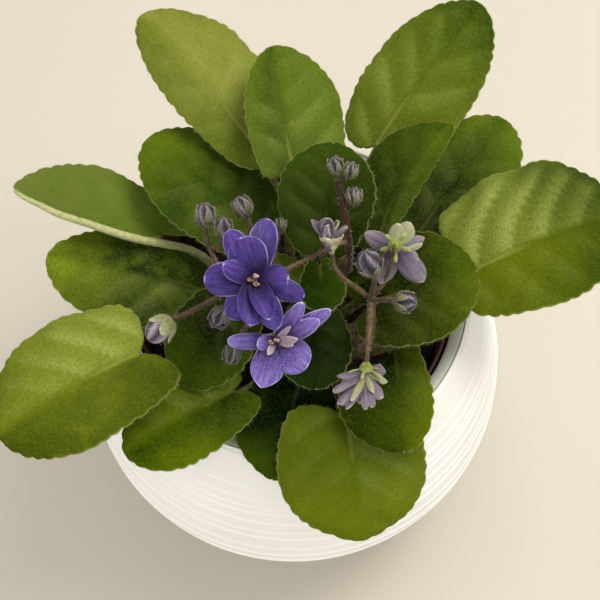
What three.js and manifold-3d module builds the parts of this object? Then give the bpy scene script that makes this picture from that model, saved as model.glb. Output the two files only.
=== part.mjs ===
// A potted African violet in flower: a round white pot with a plastic nursery pot inside it,
// potting soil, a crown with twenty leaves, and three flower stems with flowers and buds.
// Millimetres. +Z is up, +X is right and -Y is the front. The origin is on the surface that the
// pot stands on, under the middle of the pot.

import * as THREE from "three";
import { mergeVertices } from "three/addons/utils/BufferGeometryUtils.js";
import Module from "manifold-3d";

const wasm = await Module();
wasm.setup();

// ---------------------------------------------------------------- driving dimensions

const GAP = 0.3; // clearance between pieces that touch

// White outer pot
const POT_HEIGHT = 105;
const POT_BELLY_RADIUS = 70;
const POT_BELLY_HEIGHT = 50;
const POT_RIM_RADIUS = 55.6;
const POT_FOOT_RADIUS = 46;
const POT_FOOT_BEVEL = 2;
const POT_LIP_WIDTH = 4.2;
const POT_LIP_ROUND = 1.2;
const POT_WALL = 5;
const POT_FLOOR = 6;
const UPPER_FULLNESS = 1.9; // how roundly the wall closes in above the belly
const LOWER_FULLNESS = 1.8; // and below it

// Nursery pot inside it
const NURSERY_RIM_HEIGHT = 101;
const NURSERY_RIM_RADIUS = 50.2;
const NURSERY_FOOT_RADIUS = 38;
const NURSERY_WALL = 1.2;
const NURSERY_FLOOR = 1.6;

// Soil and crown
const SOIL_TOP = 90;
const SOIL_DOME = 1.5;
const CROWN_X = 7;
const CROWN_Y = -9;
const CROWN_RADIUS = 9;
const CROWN_TOP = 104;

// Leaves
const LEAF_THICKNESS = 1.2;
const PETIOLE_START_RADIUS = 1.6;
const PETIOLE_END_RADIUS = 1.3;
const PETIOLE_TIERS = { low: 93.5, middle: 97.7, high: 101.9 };

// Stems, flowers and buds
const PEDICEL_RADIUS = 0.75;
const BRANCH_START = 1.7; // a branch starts this far from the middle of its node
const PETAL_THICKNESS = 0.5;
const THROAT_RADIUS = 1.5;
const THROAT_LENGTH = 2.4;
const ANTHER_REACH = 3.05;
const CALYX_RADIUS = 2.1;
const CALYX_LENGTH = 2.6;

// Loft resolution
const RING_POINTS = 8; // left edge, over the upper side to the right edge, back under it
const LEAF_STATIONS = 10;
const PETAL_STATIONS = 5;
const POT_SEGMENTS = 48;
const NURSERY_SEGMENTS = 48;
const CROWN_SEGMENTS = 24;

const COLOURS = {
  ceramic: 0xf1efea,
  nursery: 0x7a4630,
  soil: 0x2a1c12,
  crown: 0x6f7f3a,
  leaf: 0x55701c,
  leafDark: 0x2f4d12,
  leafLight: 0x8b9c3c,
  stem: 0x86604a,
  violet: 0x5b3fa6,
  lilac: 0x8c76c6,
  pale: 0xc3bccb,
  bud: 0x8d8496,
  anther: 0xe6cfb4,
};

// ---------------------------------------------------------------- vectors and meshes

const UP = new THREE.Vector3(0, 0, 1);
const vector = ([x, y, z]) => new THREE.Vector3(x, y, z);
const unit = (list) => vector(list).normalize();
const radians = THREE.MathUtils.degToRad;

const makeMesh = (name, geometry, colour, roughness) => {
  const material = new THREE.MeshStandardMaterial({ color: colour, roughness, metalness: 0 });
  const mesh = new THREE.Mesh(geometry, material);
  mesh.name = name;
  return mesh;
};

// A closed body through rings of equal length, with a point in the middle of each end.
const closeRings = (rings, start, end) => {
  const count = rings[0].length;
  const points = [start, ...rings.flat(), end];
  const last = points.length - 1;
  const at = (ring, index) => 1 + ring * count + (index % count);
  const faces = [];
  for (let i = 0; i < count; i += 1) {
    faces.push(0, at(0, i + 1), at(0, i));
    faces.push(last, at(rings.length - 1, i), at(rings.length - 1, i + 1));
  }
  for (let ring = 0; ring < rings.length - 1; ring += 1) {
    for (let i = 0; i < count; i += 1) {
      faces.push(at(ring, i), at(ring, i + 1), at(ring + 1, i + 1));
      faces.push(at(ring, i), at(ring + 1, i + 1), at(ring + 1, i));
    }
  }
  const geometry = new THREE.BufferGeometry().setFromPoints(points);
  geometry.setIndex(faces);
  return geometry;
};

// A round ring across a centre line: `side` is to the right and `normal` is up.
const roundRing = (centre, side, normal, radius) =>
  Array.from({ length: RING_POINTS }, (_, i) => {
    const angle = Math.PI - (i / RING_POINTS) * 2 * Math.PI;
    return centre
      .clone()
      .addScaledVector(side, radius * Math.cos(angle))
      .addScaledVector(normal, radius * Math.sin(angle));
  });

// Rings of the given radii along a curve. The side direction turns evenly from one end's to
// the other's.
const tubeRings = (curve, radii, startSide, endSide) =>
  radii.map((radius, i) => {
    const u = i / (radii.length - 1);
    const tangent = curve.getTangent(u);
    const side = startSide.clone().lerp(endSide, u);
    side.addScaledVector(tangent, -side.dot(tangent)).normalize();
    const normal = side.clone().cross(tangent);
    return roundRing(curve.getPoint(u), side, normal, radius);
  });

// Any direction square to the given one.
const squareTo = (direction) => {
  const other = Math.abs(direction.z) > 0.8 ? new THREE.Vector3(0, 1, 0) : UP;
  return direction.clone().cross(other).normalize();
};

// ---------------------------------------------------------------- leaf and petal blades

// Half width of a blade at t along it, as a share of its widest: round at the base, and round
// (point 0.5) to pointed (point 1) at the tip.
const bladeOutline = (t, widest, point) => {
  if (t < widest) return Math.sqrt(1 - ((widest - t) / widest) ** 2);
  return (1 - ((t - widest) / (1 - widest)) ** 2) ** point;
};

// The rings of a blade, from just past its base to just before its tip, evenly spaced on a
// half circle so that both ends come out round. `curl` is the turn of each margin in degrees:
// positive hangs down, negative is cupped up. `lobe` carries the margins back at the base, to a
// heart shape.
const bladeRings = (blade, stations) => {
  const { base, forward, normal, length, left, right, widest = 0.45, point = 0.55 } = blade;
  const { arch = 0, bow = 0, lobe = 0, curlLeft = 0, curlRight = 0, thickness } = blade;
  const { lobeLeft = lobe, lobeRight = lobe } = blade;
  const side = forward.clone().cross(normal);
  const surface = (t, s, lift) => {
    const width = (s < 0 ? left : right) * bladeOutline(t, widest, point);
    const curl = radians(s < 0 ? curlLeft : curlRight);
    const turn = Math.abs(curl) < 0.01 ? 0.01 : curl;
    const across = (Math.sign(s) * width * Math.sin(turn * Math.abs(s))) / turn;
    const drop = (width * (1 - Math.cos(turn * Math.abs(s)))) / turn;
    const hump = 4 * t * (1 - t);
    const heart = t < 0.5 ? 16 * t * (1 - t) * (1 - 2 * t) ** 2 : 0;
    const back = (s < 0 ? lobeLeft : lobeRight) * Math.abs(s) ** 1.5 * heart;
    return base
      .clone()
      .addScaledVector(forward, length * t - back)
      .addScaledVector(side, across + bow * hump)
      .addScaledVector(normal, arch * hump - drop + lift);
  };
  const rings = [];
  for (let k = 1; k < stations; k += 1) {
    const t = (1 - Math.cos((Math.PI * k) / stations)) / 2;
    const half = thickness / 2;
    const upper = [-0.5, 0, 0.5].map((s) => surface(t, s, half));
    const lower = [0.5, 0, -0.5].map((s) => surface(t, s, -half));
    rings.push([surface(t, -1, 0), ...upper, surface(t, 1, 0), ...lower]);
  }
  return rings;
};

// ---------------------------------------------------------------- pots, soil and crown

const wallRadius = (height) => {
  if (height >= POT_BELLY_HEIGHT) {
    const share = (height - POT_BELLY_HEIGHT) / (POT_HEIGHT - POT_BELLY_HEIGHT);
    return POT_BELLY_RADIUS - (POT_BELLY_RADIUS - POT_RIM_RADIUS) * share ** UPPER_FULLNESS;
  }
  const share = (POT_BELLY_HEIGHT - height) / POT_BELLY_HEIGHT;
  return POT_BELLY_RADIUS - (POT_BELLY_RADIUS - POT_FOOT_RADIUS) * share ** LOWER_FULLNESS;
};

const lathe = (profile, segments) => {
  const points = profile.map(([radius, height]) => new THREE.Vector2(radius, height));
  const turned = new THREE.LatheGeometry(points, segments).rotateX(Math.PI / 2);
  turned.deleteAttribute("normal");
  turned.deleteAttribute("uv");
  return mergeVertices(turned, 1e-4);
};

const outerPot = () => {
  const outside = [];
  for (const height of [10, 28, 50, 70, 88]) outside.push([wallRadius(height), height]);
  const inside = [];
  for (const height of [88, 70, 50, 28]) inside.push([wallRadius(height) - POT_WALL, height]);
  const mouth = POT_RIM_RADIUS - POT_LIP_WIDTH;
  const profile = [
    [0, 0],
    [POT_FOOT_RADIUS - POT_FOOT_BEVEL, 0],
    [POT_FOOT_RADIUS, POT_FOOT_BEVEL],
    ...outside,
    [POT_RIM_RADIUS, POT_HEIGHT - POT_LIP_ROUND],
    [POT_RIM_RADIUS - POT_LIP_ROUND, POT_HEIGHT],
    [mouth + POT_LIP_ROUND, POT_HEIGHT],
    [mouth, POT_HEIGHT - POT_LIP_ROUND],
    ...inside,
    [POT_FOOT_RADIUS - POT_WALL, POT_FLOOR],
    [0, POT_FLOOR],
  ];
  return makeMesh("outer_pot", lathe(profile, POT_SEGMENTS), COLOURS.ceramic, 0.6);
};

const NURSERY_FOOT = POT_FLOOR + GAP;

const nurseryRadius = (height) => {
  const share = (height - NURSERY_FOOT) / (NURSERY_RIM_HEIGHT - NURSERY_FOOT);
  return NURSERY_FOOT_RADIUS + (NURSERY_RIM_RADIUS - NURSERY_FOOT_RADIUS) * share;
};

const nurseryPot = () => {
  const inner = (height) => nurseryRadius(height) - NURSERY_WALL;
  const floor = NURSERY_FOOT + NURSERY_FLOOR;
  const profile = [
    [0, NURSERY_FOOT],
    [NURSERY_FOOT_RADIUS, NURSERY_FOOT],
    [NURSERY_RIM_RADIUS, NURSERY_RIM_HEIGHT],
    [inner(NURSERY_RIM_HEIGHT), NURSERY_RIM_HEIGHT],
    [inner(floor), floor],
    [0, floor],
  ];
  return makeMesh("nursery_pot", lathe(profile, NURSERY_SEGMENTS), COLOURS.nursery, 0.6);
};

const pottingSoil = () => {
  const bottom = NURSERY_FOOT + NURSERY_FLOOR + GAP;
  const reach = (height) => nurseryRadius(height) - NURSERY_WALL - GAP;
  const profile = [
    [0, bottom],
    [reach(bottom), bottom],
    [reach(SOIL_TOP - SOIL_DOME), SOIL_TOP - SOIL_DOME],
    [reach(SOIL_TOP) - 8, SOIL_TOP - SOIL_DOME / 3],
    [CROWN_RADIUS * 2.4, SOIL_TOP],
    [0, SOIL_TOP],
  ];
  return makeMesh("potting_soil", lathe(profile, NURSERY_SEGMENTS), COLOURS.soil, 1);
};

const crown = () => {
  const bottom = SOIL_TOP + GAP;
  const profile = [
    [0, bottom],
    [CROWN_RADIUS, bottom],
    [CROWN_RADIUS, CROWN_TOP - 0.5],
    [CROWN_RADIUS - 0.5, CROWN_TOP],
    [0, CROWN_TOP],
  ];
  const geometry = lathe(profile, CROWN_SEGMENTS);
  const mesh = makeMesh("crown", geometry, COLOURS.crown, 0.8);
  mesh.position.set(CROWN_X, CROWN_Y, 0);
  return mesh;
};

// ---------------------------------------------------------------- leaves

// `base` and `tip` are the ends of the blade's midrib. `azimuth` is where the leaf stalk leaves
// the crown, in degrees from +X, and `tier` is how high. A leaf with `from` starts there, on
// top of the crown. `rise` is how steeply the stalk climbs where it meets the blade. `roll`
// raises the right-hand side, seen from the base.
const LEAVES = {
  back_left: {
    base: [-9, 31, 134], tip: [-47, 74, 148], left: 12, right: 21, azimuth: 113, tier: "low",
    curlLeft: 35, curlRight: 20, arch: 3, lobe: 5, widest: 0.5, rise: 15,
    colour: "leafLight",
  },
  back_centre: {
    base: [1, 18, 142], tip: [-6, 58, 154], left: 11, right: 19, azimuth: 98, tier: "middle",
    curlLeft: 10, curlRight: 25, arch: 3, bow: -1, lobe: 5, widest: 0.45, colour: "leaf",
  },
  back_right: {
    base: [26, 40, 127], tip: [58, 76, 151], left: 17.7, right: 18, azimuth: 67, tier: "low",
    curlLeft: 15, curlRight: 15, arch: 3, lobe: 7, widest: 0.42, colour: "leaf",
  },
  upper_right_inner: {
    base: [25, 2, 134], tip: [49, 37, 142], left: 18, right: 8, azimuth: 27, tier: "middle",
    curlLeft: 15, curlRight: 75, arch: 3, lobe: 4, widest: 0.56, roll: 10, colour: "leafDark",
  },
  upper_right_outer: {
    base: [37.6, 9.6, 121.6], tip: [66.4, 47.6, 129.6], left: 13, right: 15, azimuth: 36, tier: "low",
    curlLeft: -12, curlRight: -5, arch: 2, lobe: 3, widest: 0.6, colour: "leaf",
  },
  right: {
    base: [55, -5, 130], tip: [98, 7, 142], left: 27, right: 20, azimuth: 5, tier: "low",
    curlLeft: 10, curlRight: 10, arch: 3, lobeLeft: 12, lobeRight: 9, widest: 0.45,
    colour: "leafLight",
  },
  right_inner: {
    base: [23, -19, 134], tip: [53, -12, 142], left: 19, right: 17, azimuth: -26, tier: "high",
    curlLeft: 20, curlRight: 20, arch: 3, lobeLeft: 7, lobeRight: 5, widest: 0.45,
    colour: "leafDark",
  },
  front_right_inner: {
    base: [30, -29, 124], tip: [32, -59, 120], left: 10, right: 18, azimuth: -46, tier: "middle",
    curlLeft: 15, curlRight: 15, arch: 2, lobeLeft: 3, lobeRight: 0, widest: 0.5, colour: "leaf",
  },
  front_right: {
    base: [16, -47, 115], tip: [20, -79, 99], left: 22, right: 22.5, azimuth: -74, tier: "low",
    curlLeft: 15, curlRight: 15, arch: 4, lobe: 8, widest: 0.42, point: 0.68, colour: "leaf",
  },
  front: {
    base: [2, -34, 111], tip: [-6, -63, 107], left: 15, right: 16, azimuth: -106, tier: "low",
    curlLeft: 5, curlRight: 5, arch: 2, lobe: 3, widest: 0.45, point: 0.65, colour: "leafDark",
  },
  front_left: {
    base: [-19, -38, 112], tip: [-49, -57, 112], left: 14, right: 12, azimuth: -132,
    tier: "middle", curlLeft: 10, curlRight: 10, arch: 3, lobe: 8, widest: 0.5, colour: "leaf",
  },
  left_low: {
    base: [-45, -31, 126], tip: [-85, -54, 119], left: 19, right: 23, azimuth: -158, tier: "low",
    curlLeft: 8, curlRight: 15, arch: 4, lobeLeft: 14, lobeRight: 8, widest: 0.45, rise: 80,
    colour: "leafLight",
  },
  left: {
    base: [-29, -2, 110], tip: [-75, 3, 122], left: 18, right: 13, azimuth: 172, tier: "middle",
    curlLeft: 10, curlRight: 10, arch: 3, lobe: 5, widest: 0.5, colour: "leaf",
  },
  left_up: {
    base: [-41, 14, 117], tip: [-85, 22, 132], left: 9, right: 15, azimuth: 152, tier: "low",
    curlLeft: -60, curlRight: 5, arch: 2, lobe: 1, widest: 0.45, point: 0.7, colour: "leaf",
  },
  left_back_inner: {
    base: [-12.3, 11, 125.6], tip: [-45, 39, 132], left: 16, right: 18, azimuth: 135, tier: "high",
    curlLeft: 15, curlRight: 15, arch: 3, lobe: 5, widest: 0.45, colour: "leaf",
  },
  back_inner: {
    base: [9, -1, 139], tip: [12, 25, 152], left: 15, right: 14, azimuth: 72, tier: "high",
    curlLeft: 15, curlRight: 15, arch: 3, lobe: 3, widest: 0.5, colour: "leafDark",
  },
  centre_small: {
    base: [8, -9, 137], tip: [9, -24, 140], left: 7, right: 7, from: [9, -11, CROWN_TOP],
    curlLeft: 10, curlRight: 10, arch: 1, lobe: 1, widest: 0.5, colour: "leaf",
  },
  centre_front: {
    base: [6, -16, 124], tip: [7, -42, 126], left: 11, right: 12, azimuth: -95, tier: "high",
    curlLeft: 15, curlRight: 15, arch: 3, lobe: 2, widest: 0.5, colour: "leafDark",
  },
  left_inner: {
    base: [-16, -10, 121], tip: [-32, -37, 116], left: 13, right: 14, azimuth: -176, tier: "high",
    curlLeft: 15, curlRight: 15, arch: 3, lobe: 3, widest: 0.5, colour: "leafDark",
  },
  centre_left: {
    base: [3, -6, 124], tip: [-11, -6, 128], left: 8, right: 8, from: [4, -5, CROWN_TOP],
    curlLeft: 10, curlRight: 10, arch: 1, lobe: 1, widest: 0.5, colour: "leaf",
  },
};

// Where a leaf stalk starts and which way it leaves.
const petioleStart = (leaf) => {
  if (leaf.from) {
    const point = vector(leaf.from).add(new THREE.Vector3(0, 0, GAP));
    return { point, leaving: UP.clone() };
  }
  const angle = radians(leaf.azimuth);
  const leaving = new THREE.Vector3(Math.cos(angle), Math.sin(angle), 0);
  const point = new THREE.Vector3(CROWN_X, CROWN_Y, PETIOLE_TIERS[leaf.tier]);
  point.addScaledVector(leaving, CROWN_RADIUS + GAP);
  return { point, leaving };
};

const makeLeaf = (name, leaf) => {
  const base = vector(leaf.base);
  const chord = vector(leaf.tip).sub(base);
  const forward = chord.clone().normalize();
  const flatSide = forward.clone().cross(UP).normalize();
  const flatNormal = flatSide.clone().cross(forward);
  const roll = radians(leaf.roll ?? 0);
  const normal = flatNormal
    .multiplyScalar(Math.cos(roll))
    .addScaledVector(flatSide, -Math.sin(roll));
  const side = forward.clone().cross(normal);
  const blade = { ...leaf, base, forward, normal, length: chord.length() };
  const rings = bladeRings({ ...blade, thickness: LEAF_THICKNESS }, LEAF_STATIONS);

  const { point, leaving } = petioleStart(leaf);
  const reach = point.distanceTo(base);
  const rise = radians(leaf.rise ?? 30);
  const arriving = flatSide.clone().cross(UP).multiplyScalar(-Math.cos(rise));
  arriving.addScaledVector(UP, Math.sin(rise));
  const curve = new THREE.CubicBezierCurve3(
    point,
    point.clone().addScaledVector(leaving, reach * 0.35),
    base.clone().addScaledVector(arriving, leaf.from ? -3 : -reach * 0.3),
    base,
  );
  const startSide = leaf.from ? side : leaving.clone().cross(UP);
  const radii = [0, 0.25, 0.5, 0.75, 1].map((u) =>
    THREE.MathUtils.lerp(PETIOLE_START_RADIUS, PETIOLE_END_RADIUS, u),
  );
  const stalk = tubeRings(curve, radii, startSide, side);
  const geometry = closeRings([...stalk, ...rings], point, vector(leaf.tip));
  return makeMesh(`leaf_${name}`, geometry, COLOURS[leaf.colour], 0.7);
};

// ---------------------------------------------------------------- flower stems

// Each main stem rises from the top of the crown and bends to where it branches.
const NODES = {
  left: [-16, -17, 142],
  leftLower: [-12, -17, 134],
  leftLowest: [-9, -17, 128],
  leftHigh: [-24, -9, 145],
  back: [16, -6, 150],
  backTop: [13, 5, 162],
  backSide: [15, -1, 156],
  right: [22, -25, 150],
};

const PEDUNCLES = {
  left: { from: [0, -14, CROWN_TOP], bends: [[-7, -17, 122]], to: NODES.left, radius: 1.3 },
  back: { from: [12, -5, CROWN_TOP], bends: [[16, -6, 126], NODES.back], to: NODES.backTop, radius: 1 },
  right: {
    from: [12, -14, CROWN_TOP], bends: [[19, -26, 121], [22, -31, 135]], to: NODES.right,
    radius: 1.3,
  },
};

const makePeduncle = (name, { from, bends, to, radius }) => {
  const start = vector(from).add(new THREE.Vector3(0, 0, GAP));
  const rising = start.clone().addScaledVector(UP, 4);
  const curve = new THREE.CatmullRomCurve3([start, rising, ...bends.map(vector), vector(to)]);
  const radii = [1.15, 1.1, 1.1, 1.05, 1.05, 1, 1, 1].map((share) => share * radius);
  const sides = [0, 1].map((u) => squareTo(curve.getTangent(u)));
  const rings = tubeRings(curve, radii, ...sides);
  const end = vector(to).addScaledVector(curve.getTangent(1), radius * 0.6);
  return makeMesh(`stem_${name}`, closeRings(rings, start, end), COLOURS.stem, 0.7);
};

// A branch from a node or another point to `to`, arriving along `axis`, with its end shape
// given as radii at distances past `to`.
const makeBranch = (name, branch, shape, endDistance, colour) => {
  const to = vector(branch.to);
  const axis = unit(branch.axis);
  const node = vector(branch.from);
  const toward = vector(branch.via ?? branch.to).sub(node).normalize();
  const start = node.clone().addScaledVector(toward, branch.start ?? BRANCH_START);
  const pull = branch.pull ?? 5;
  const arriving = to.clone().addScaledVector(axis, -pull);
  const curve = new THREE.CubicBezierCurve3(
    start,
    branch.via ? vector(branch.via) : start.clone().addScaledVector(toward, pull),
    arriving,
    to,
  );
  const radii = [1, 1, 1, 1, 1.1].map((share) => share * PEDICEL_RADIUS);
  const sides = [0, 1].map((u) => squareTo(curve.getTangent(u)));
  const rings = tubeRings(curve, radii, ...sides);
  const side = sides[1];
  const normal = side.clone().cross(axis);
  for (const [distance, radius] of shape) {
    const centre = to.clone().addScaledVector(axis, distance);
    rings.push(roundRing(centre, side, normal, radius));
  }
  const end = to.clone().addScaledVector(axis, endDistance);
  return makeMesh(name, closeRings(rings, start, end), COLOURS[colour], 0.7);
};

// ---------------------------------------------------------------- flowers

// `centre` is the front of the throat and `axis` is the way the flower faces. A petal's `clock`
// is its place round the axis, in degrees clockwise from the flower's top, seen from in front.
// `lean` is how far it has opened away from the axis.
const FLOWERS = {
  1: {
    centre: [-10, -27, 166], axis: [0.05, -0.35, 0.93], colour: "violet",
    from: NODES.back, pull: 8, start: 1,
    petals: [
      { clock: 16, lean: 88, length: 16, width: 3.7, curl: -15 },
      { clock: -36, lean: 88, length: 14, width: 3.8, curl: 10 },
      { clock: -92, lean: 85, length: 13, width: 5, curl: 15 },
      { clock: -148, lean: 92, length: 12, width: 3.8, curl: 10 },
      { clock: 153, lean: 85, length: 14.5, width: 3.6, curl: -20 },
      { clock: 109, lean: 88, length: 14, width: 3, curl: 20 },
      { clock: -22, lean: 58, length: 12, width: 5.2, curl: 20 },
      { clock: 66, lean: 60, length: 11, width: 4.6, curl: 25 },
      { clock: 182, lean: 62, length: 13.5, width: 5.4, curl: -60 },
      { clock: -70, lean: 55, length: 8.5, width: 3, curl: 20 },
    ],
  },
  2: {
    centre: [-3, -40, 156], axis: [0.1, -0.85, 0.5], colour: "lilac",
    from: NODES.left, pull: 6,
    petals: [
      { clock: -82, lean: 68, length: 14, width: 3.6, curl: 10 },
      { clock: -163, lean: 68, length: 14, width: 4.9, curl: 5, point: 0.8 },
      { clock: 140, lean: 66, length: 12, width: 5.5, curl: 10 },
      { clock: 68, lean: 64, length: 14.5, width: 3.4, curl: 15 },
      { clock: 40, lean: 60, length: 13, width: 3.2, curl: 10 },
      { clock: 8, lean: 60, length: 12, width: 3.4, curl: 10 },
      { clock: -112, lean: 42, length: 8, width: 2.6, curl: 10 },
    ],
  },
  3: {
    centre: [29, -13, 163], axis: [0.15, 0.45, -0.88], colour: "pale",
    from: NODES.right, via: [28, -20, 157], pull: 4, start: 2.4,
    petals: [
      { clock: -24, lean: 72, length: 9, width: 3.8, curl: 20 },
      { clock: -65, lean: 72, length: 8, width: 2.6, curl: 15 },
      { clock: -101, lean: 66, length: 7, width: 2.4, curl: 20 },
      { clock: -143, lean: 74, length: 10.5, width: 3.6, curl: 20 },
      { clock: 160, lean: 74, length: 8.5, width: 3.2, curl: 20 },
      { clock: 60, lean: 72, length: 9, width: 3.4, curl: 20 },
    ],
  },
  4: {
    centre: [20, -48, 147], axis: [-0.05, -0.75, -0.66], colour: "pale",
    from: NODES.right, via: [21, -40, 158], pull: 5,
    petals: [
      { clock: 25, lean: 50, length: 10, width: 3, curl: 25 },
      { clock: 78, lean: 48, length: 10, width: 2.8, curl: 25 },
      { clock: 130, lean: 44, length: 10.5, width: 2.8, curl: 25 },
      { clock: 180, lean: 40, length: 10.5, width: 2.4, curl: 25 },
      { clock: -130, lean: 44, length: 11, width: 3, curl: 25 },
      { clock: -78, lean: 48, length: 10.5, width: 2.8, curl: 25 },
      { clock: -25, lean: 50, length: 9.5, width: 2.6, curl: 25 },
    ],
  },
  5: {
    centre: [10, -12, 160], axis: [-0.05, 0.62, 0.78], colour: "pale",
    from: NODES.right, pull: 5,
    petals: [
      { clock: 0, lean: 22, length: 9, width: 3.2, curl: -35 },
      { clock: 72, lean: 26, length: 8.5, width: 2.8, curl: -30 },
      { clock: 144, lean: 24, length: 8.5, width: 3, curl: -35 },
      { clock: -144, lean: 24, length: 8.5, width: 3, curl: -35 },
      { clock: -72, lean: 30, length: 8.5, width: 2.8, curl: -30 },
    ],
  },
};

const toSolid = (geometry) => {
  const vertProperties = new Float32Array(geometry.getAttribute("position").array);
  const triVerts = new Uint32Array(geometry.getIndex().array);
  return new wasm.Manifold(new wasm.Mesh({ numProp: 3, vertProperties, triVerts }));
};

const toGeometry = (solid) => {
  const { vertProperties, triVerts, numProp } = solid.getMesh();
  const geometry = new THREE.BufferGeometry();
  const positions = new THREE.BufferAttribute(new Float32Array(vertProperties), numProp);
  geometry.setAttribute("position", positions);
  geometry.setIndex(new THREE.BufferAttribute(new Uint32Array(triVerts), 1));
  return geometry;
};

const join = (geometries) =>
  toGeometry(geometries.map(toSolid).reduce((whole, solid) => whole.add(solid)));

// The flower's own directions: the way it faces, its top and its right-hand side.
const flowerFrame = (flower) => {
  const axis = unit(flower.axis);
  const across = axis.clone().cross(UP).normalize();
  const top = across.clone().cross(axis);
  return { centre: vector(flower.centre), axis, top, right: top.clone().cross(axis) };
};

const petalGeometry = ({ centre, axis, top, right }, petal) => {
  const clock = radians(petal.clock);
  const lean = radians(petal.lean);
  const outward = top.clone().multiplyScalar(Math.cos(clock)).addScaledVector(right, Math.sin(clock));
  const forward = axis.clone().multiplyScalar(Math.cos(lean)).addScaledVector(outward, Math.sin(lean));
  const normal = axis.clone().multiplyScalar(Math.sin(lean)).addScaledVector(outward, -Math.cos(lean));
  const base = centre.clone().addScaledVector(axis, -PETAL_THICKNESS);
  const rings = bladeRings(
    {
      base, forward, normal, length: petal.length, left: petal.width, right: petal.width,
      curlLeft: petal.curl, curlRight: petal.curl, widest: 0.58, point: petal.point ?? 0.55,
      arch: petal.length * 0.06, thickness: PETAL_THICKNESS,
    },
    PETAL_STATIONS,
  );
  return closeRings(rings, base, base.clone().addScaledVector(forward, petal.length));
};

const throatGeometry = ({ centre, axis, top, right }) => {
  const ringAt = (distance, radius) =>
    roundRing(centre.clone().addScaledVector(axis, distance), right, top.clone().negate(), radius);
  const rings = [ringAt(-THROAT_LENGTH, THROAT_RADIUS * 0.8), ringAt(0, THROAT_RADIUS)];
  const back = centre.clone().addScaledVector(axis, -THROAT_LENGTH);
  return closeRings(rings, back, centre);
};

const makeCorolla = (name, flower) => {
  const frame = flowerFrame(flower);
  const petals = flower.petals.map((petal) => petalGeometry(frame, petal));
  const geometry = join([throatGeometry(frame), ...petals]);
  return makeMesh(`flower_${name}_corolla`, geometry, COLOURS[flower.colour], 0.7);
};

// A thin stalk with a cup-shaped calyx that holds the back of the corolla.
const makeFlowerStalk = (name, flower) => {
  const axis = unit(flower.axis);
  const seat = THROAT_LENGTH + GAP;
  const to = vector(flower.centre).addScaledVector(axis, -seat - CALYX_LENGTH).toArray();
  const shape = [
    [CALYX_LENGTH * 0.35, CALYX_RADIUS * 0.8],
    [CALYX_LENGTH * 0.7, CALYX_RADIUS],
    [CALYX_LENGTH, CALYX_RADIUS * 0.9],
  ];
  const { from, via, pull, start } = flower;
  const branch = { from, via, pull, start, to, axis: flower.axis };
  return makeBranch(`flower_${name}_stalk`, branch, shape, CALYX_LENGTH, "stem");
};

// Two anthers joined side by side, just in front of the throat.
const makeAnthers = (name, flower) => {
  const { centre, axis, right } = flowerFrame(flower);
  const pair = [-1, 1].map((way) => {
    const lobe = new THREE.SphereGeometry(1, 8, 5);
    lobe.deleteAttribute("normal");
    lobe.deleteAttribute("uv");
    const place = centre
      .clone()
      .addScaledVector(axis, ANTHER_REACH)
      .addScaledVector(right, way * 0.7);
    return mergeVertices(lobe, 1e-4).translate(place.x, place.y, place.z);
  });
  return makeMesh(`flower_${name}_anthers`, join(pair), COLOURS.anther, 0.6);
};

// ---------------------------------------------------------------- buds

// `to` is the bottom of the bud and `axis` is the way it points.
const BUDS = {
  left_low: { from: NODES.left, to: [-33, -31, 150], axis: [-1, -0.3, -0.1], length: 9, radius: 3.7 },
  left_high: {
    from: NODES.left, via: NODES.leftHigh, to: [-25, -1, 149], axis: [0, 0.6, 0.8], length: 7,
    radius: 2.8,
  },
  left_middle: {
    from: NODES.leftHigh, to: [-20, -5, 149], axis: [0.1, 0.6, 0.8], length: 6.5, radius: 2.4,
    pull: 2, start: 2.7,
  },
  left_back: {
    from: NODES.leftLower, to: [-13, 2, 149], axis: [-0.4, 0.6, 0.6], length: 6.5, radius: 2.8,
    start: 2.4,
  },
  left_under: {
    from: NODES.leftLower, to: [-19, -24, 142], axis: [-0.4, -0.8, 0.2], length: 7, radius: 2.9,
    pull: 2, start: 4,
  },
  left_front: {
    from: NODES.leftLowest, to: [-16, -33, 138], axis: [-0.3, -0.9, 0], length: 6.5, radius: 2.4,
    start: 3,
  },
  left_tiny: {
    from: NODES.leftLowest, to: [-4, 1, 142], axis: [0.2, 0.7, 0.6], length: 4, radius: 1.5,
    start: 2,
  },
  back_top: {
    from: NODES.backTop, to: [12.5, 7, 165], axis: [-0.2, 0.5, 0.8], length: 5, radius: 2.1,
    pull: 0.6, start: 1,
  },
  back_right: {
    from: NODES.backTop, to: [15.5, 6.5, 164], axis: [0.3, 0.4, 0.8], length: 4.5, radius: 1.9,
    pull: 0.6, start: 2,
  },
  back_side: {
    from: NODES.backSide, to: [17, 1, 158], axis: [0.1, 0.6, 0.8], length: 5, radius: 2.2,
    pull: 0.8, start: 2,
  },
  right_high: {
    from: NODES.right, to: [22, -23, 162], axis: [-0.3, 0.4, 0.85], length: 8, radius: 3.4,
    start: 2,
  },
  right_side: {
    from: NODES.right, to: [28, -28, 156], axis: [0.8, -0.3, 0.3], length: 6.5, radius: 2.8,
    pull: 2, start: 2.4,
  },
};

const makeBud = (name, bud) => {
  const { length, radius } = bud;
  const shape = [
    [length * 0.16, radius * 0.72],
    [length * 0.42, radius],
    [length * 0.7, radius * 0.9],
    [length * 0.9, radius * 0.5],
  ];
  return makeBranch(`bud_${name}`, { pull: 4, ...bud }, shape, length, "bud");
};

// ---------------------------------------------------------------- the plant in its pot

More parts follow.
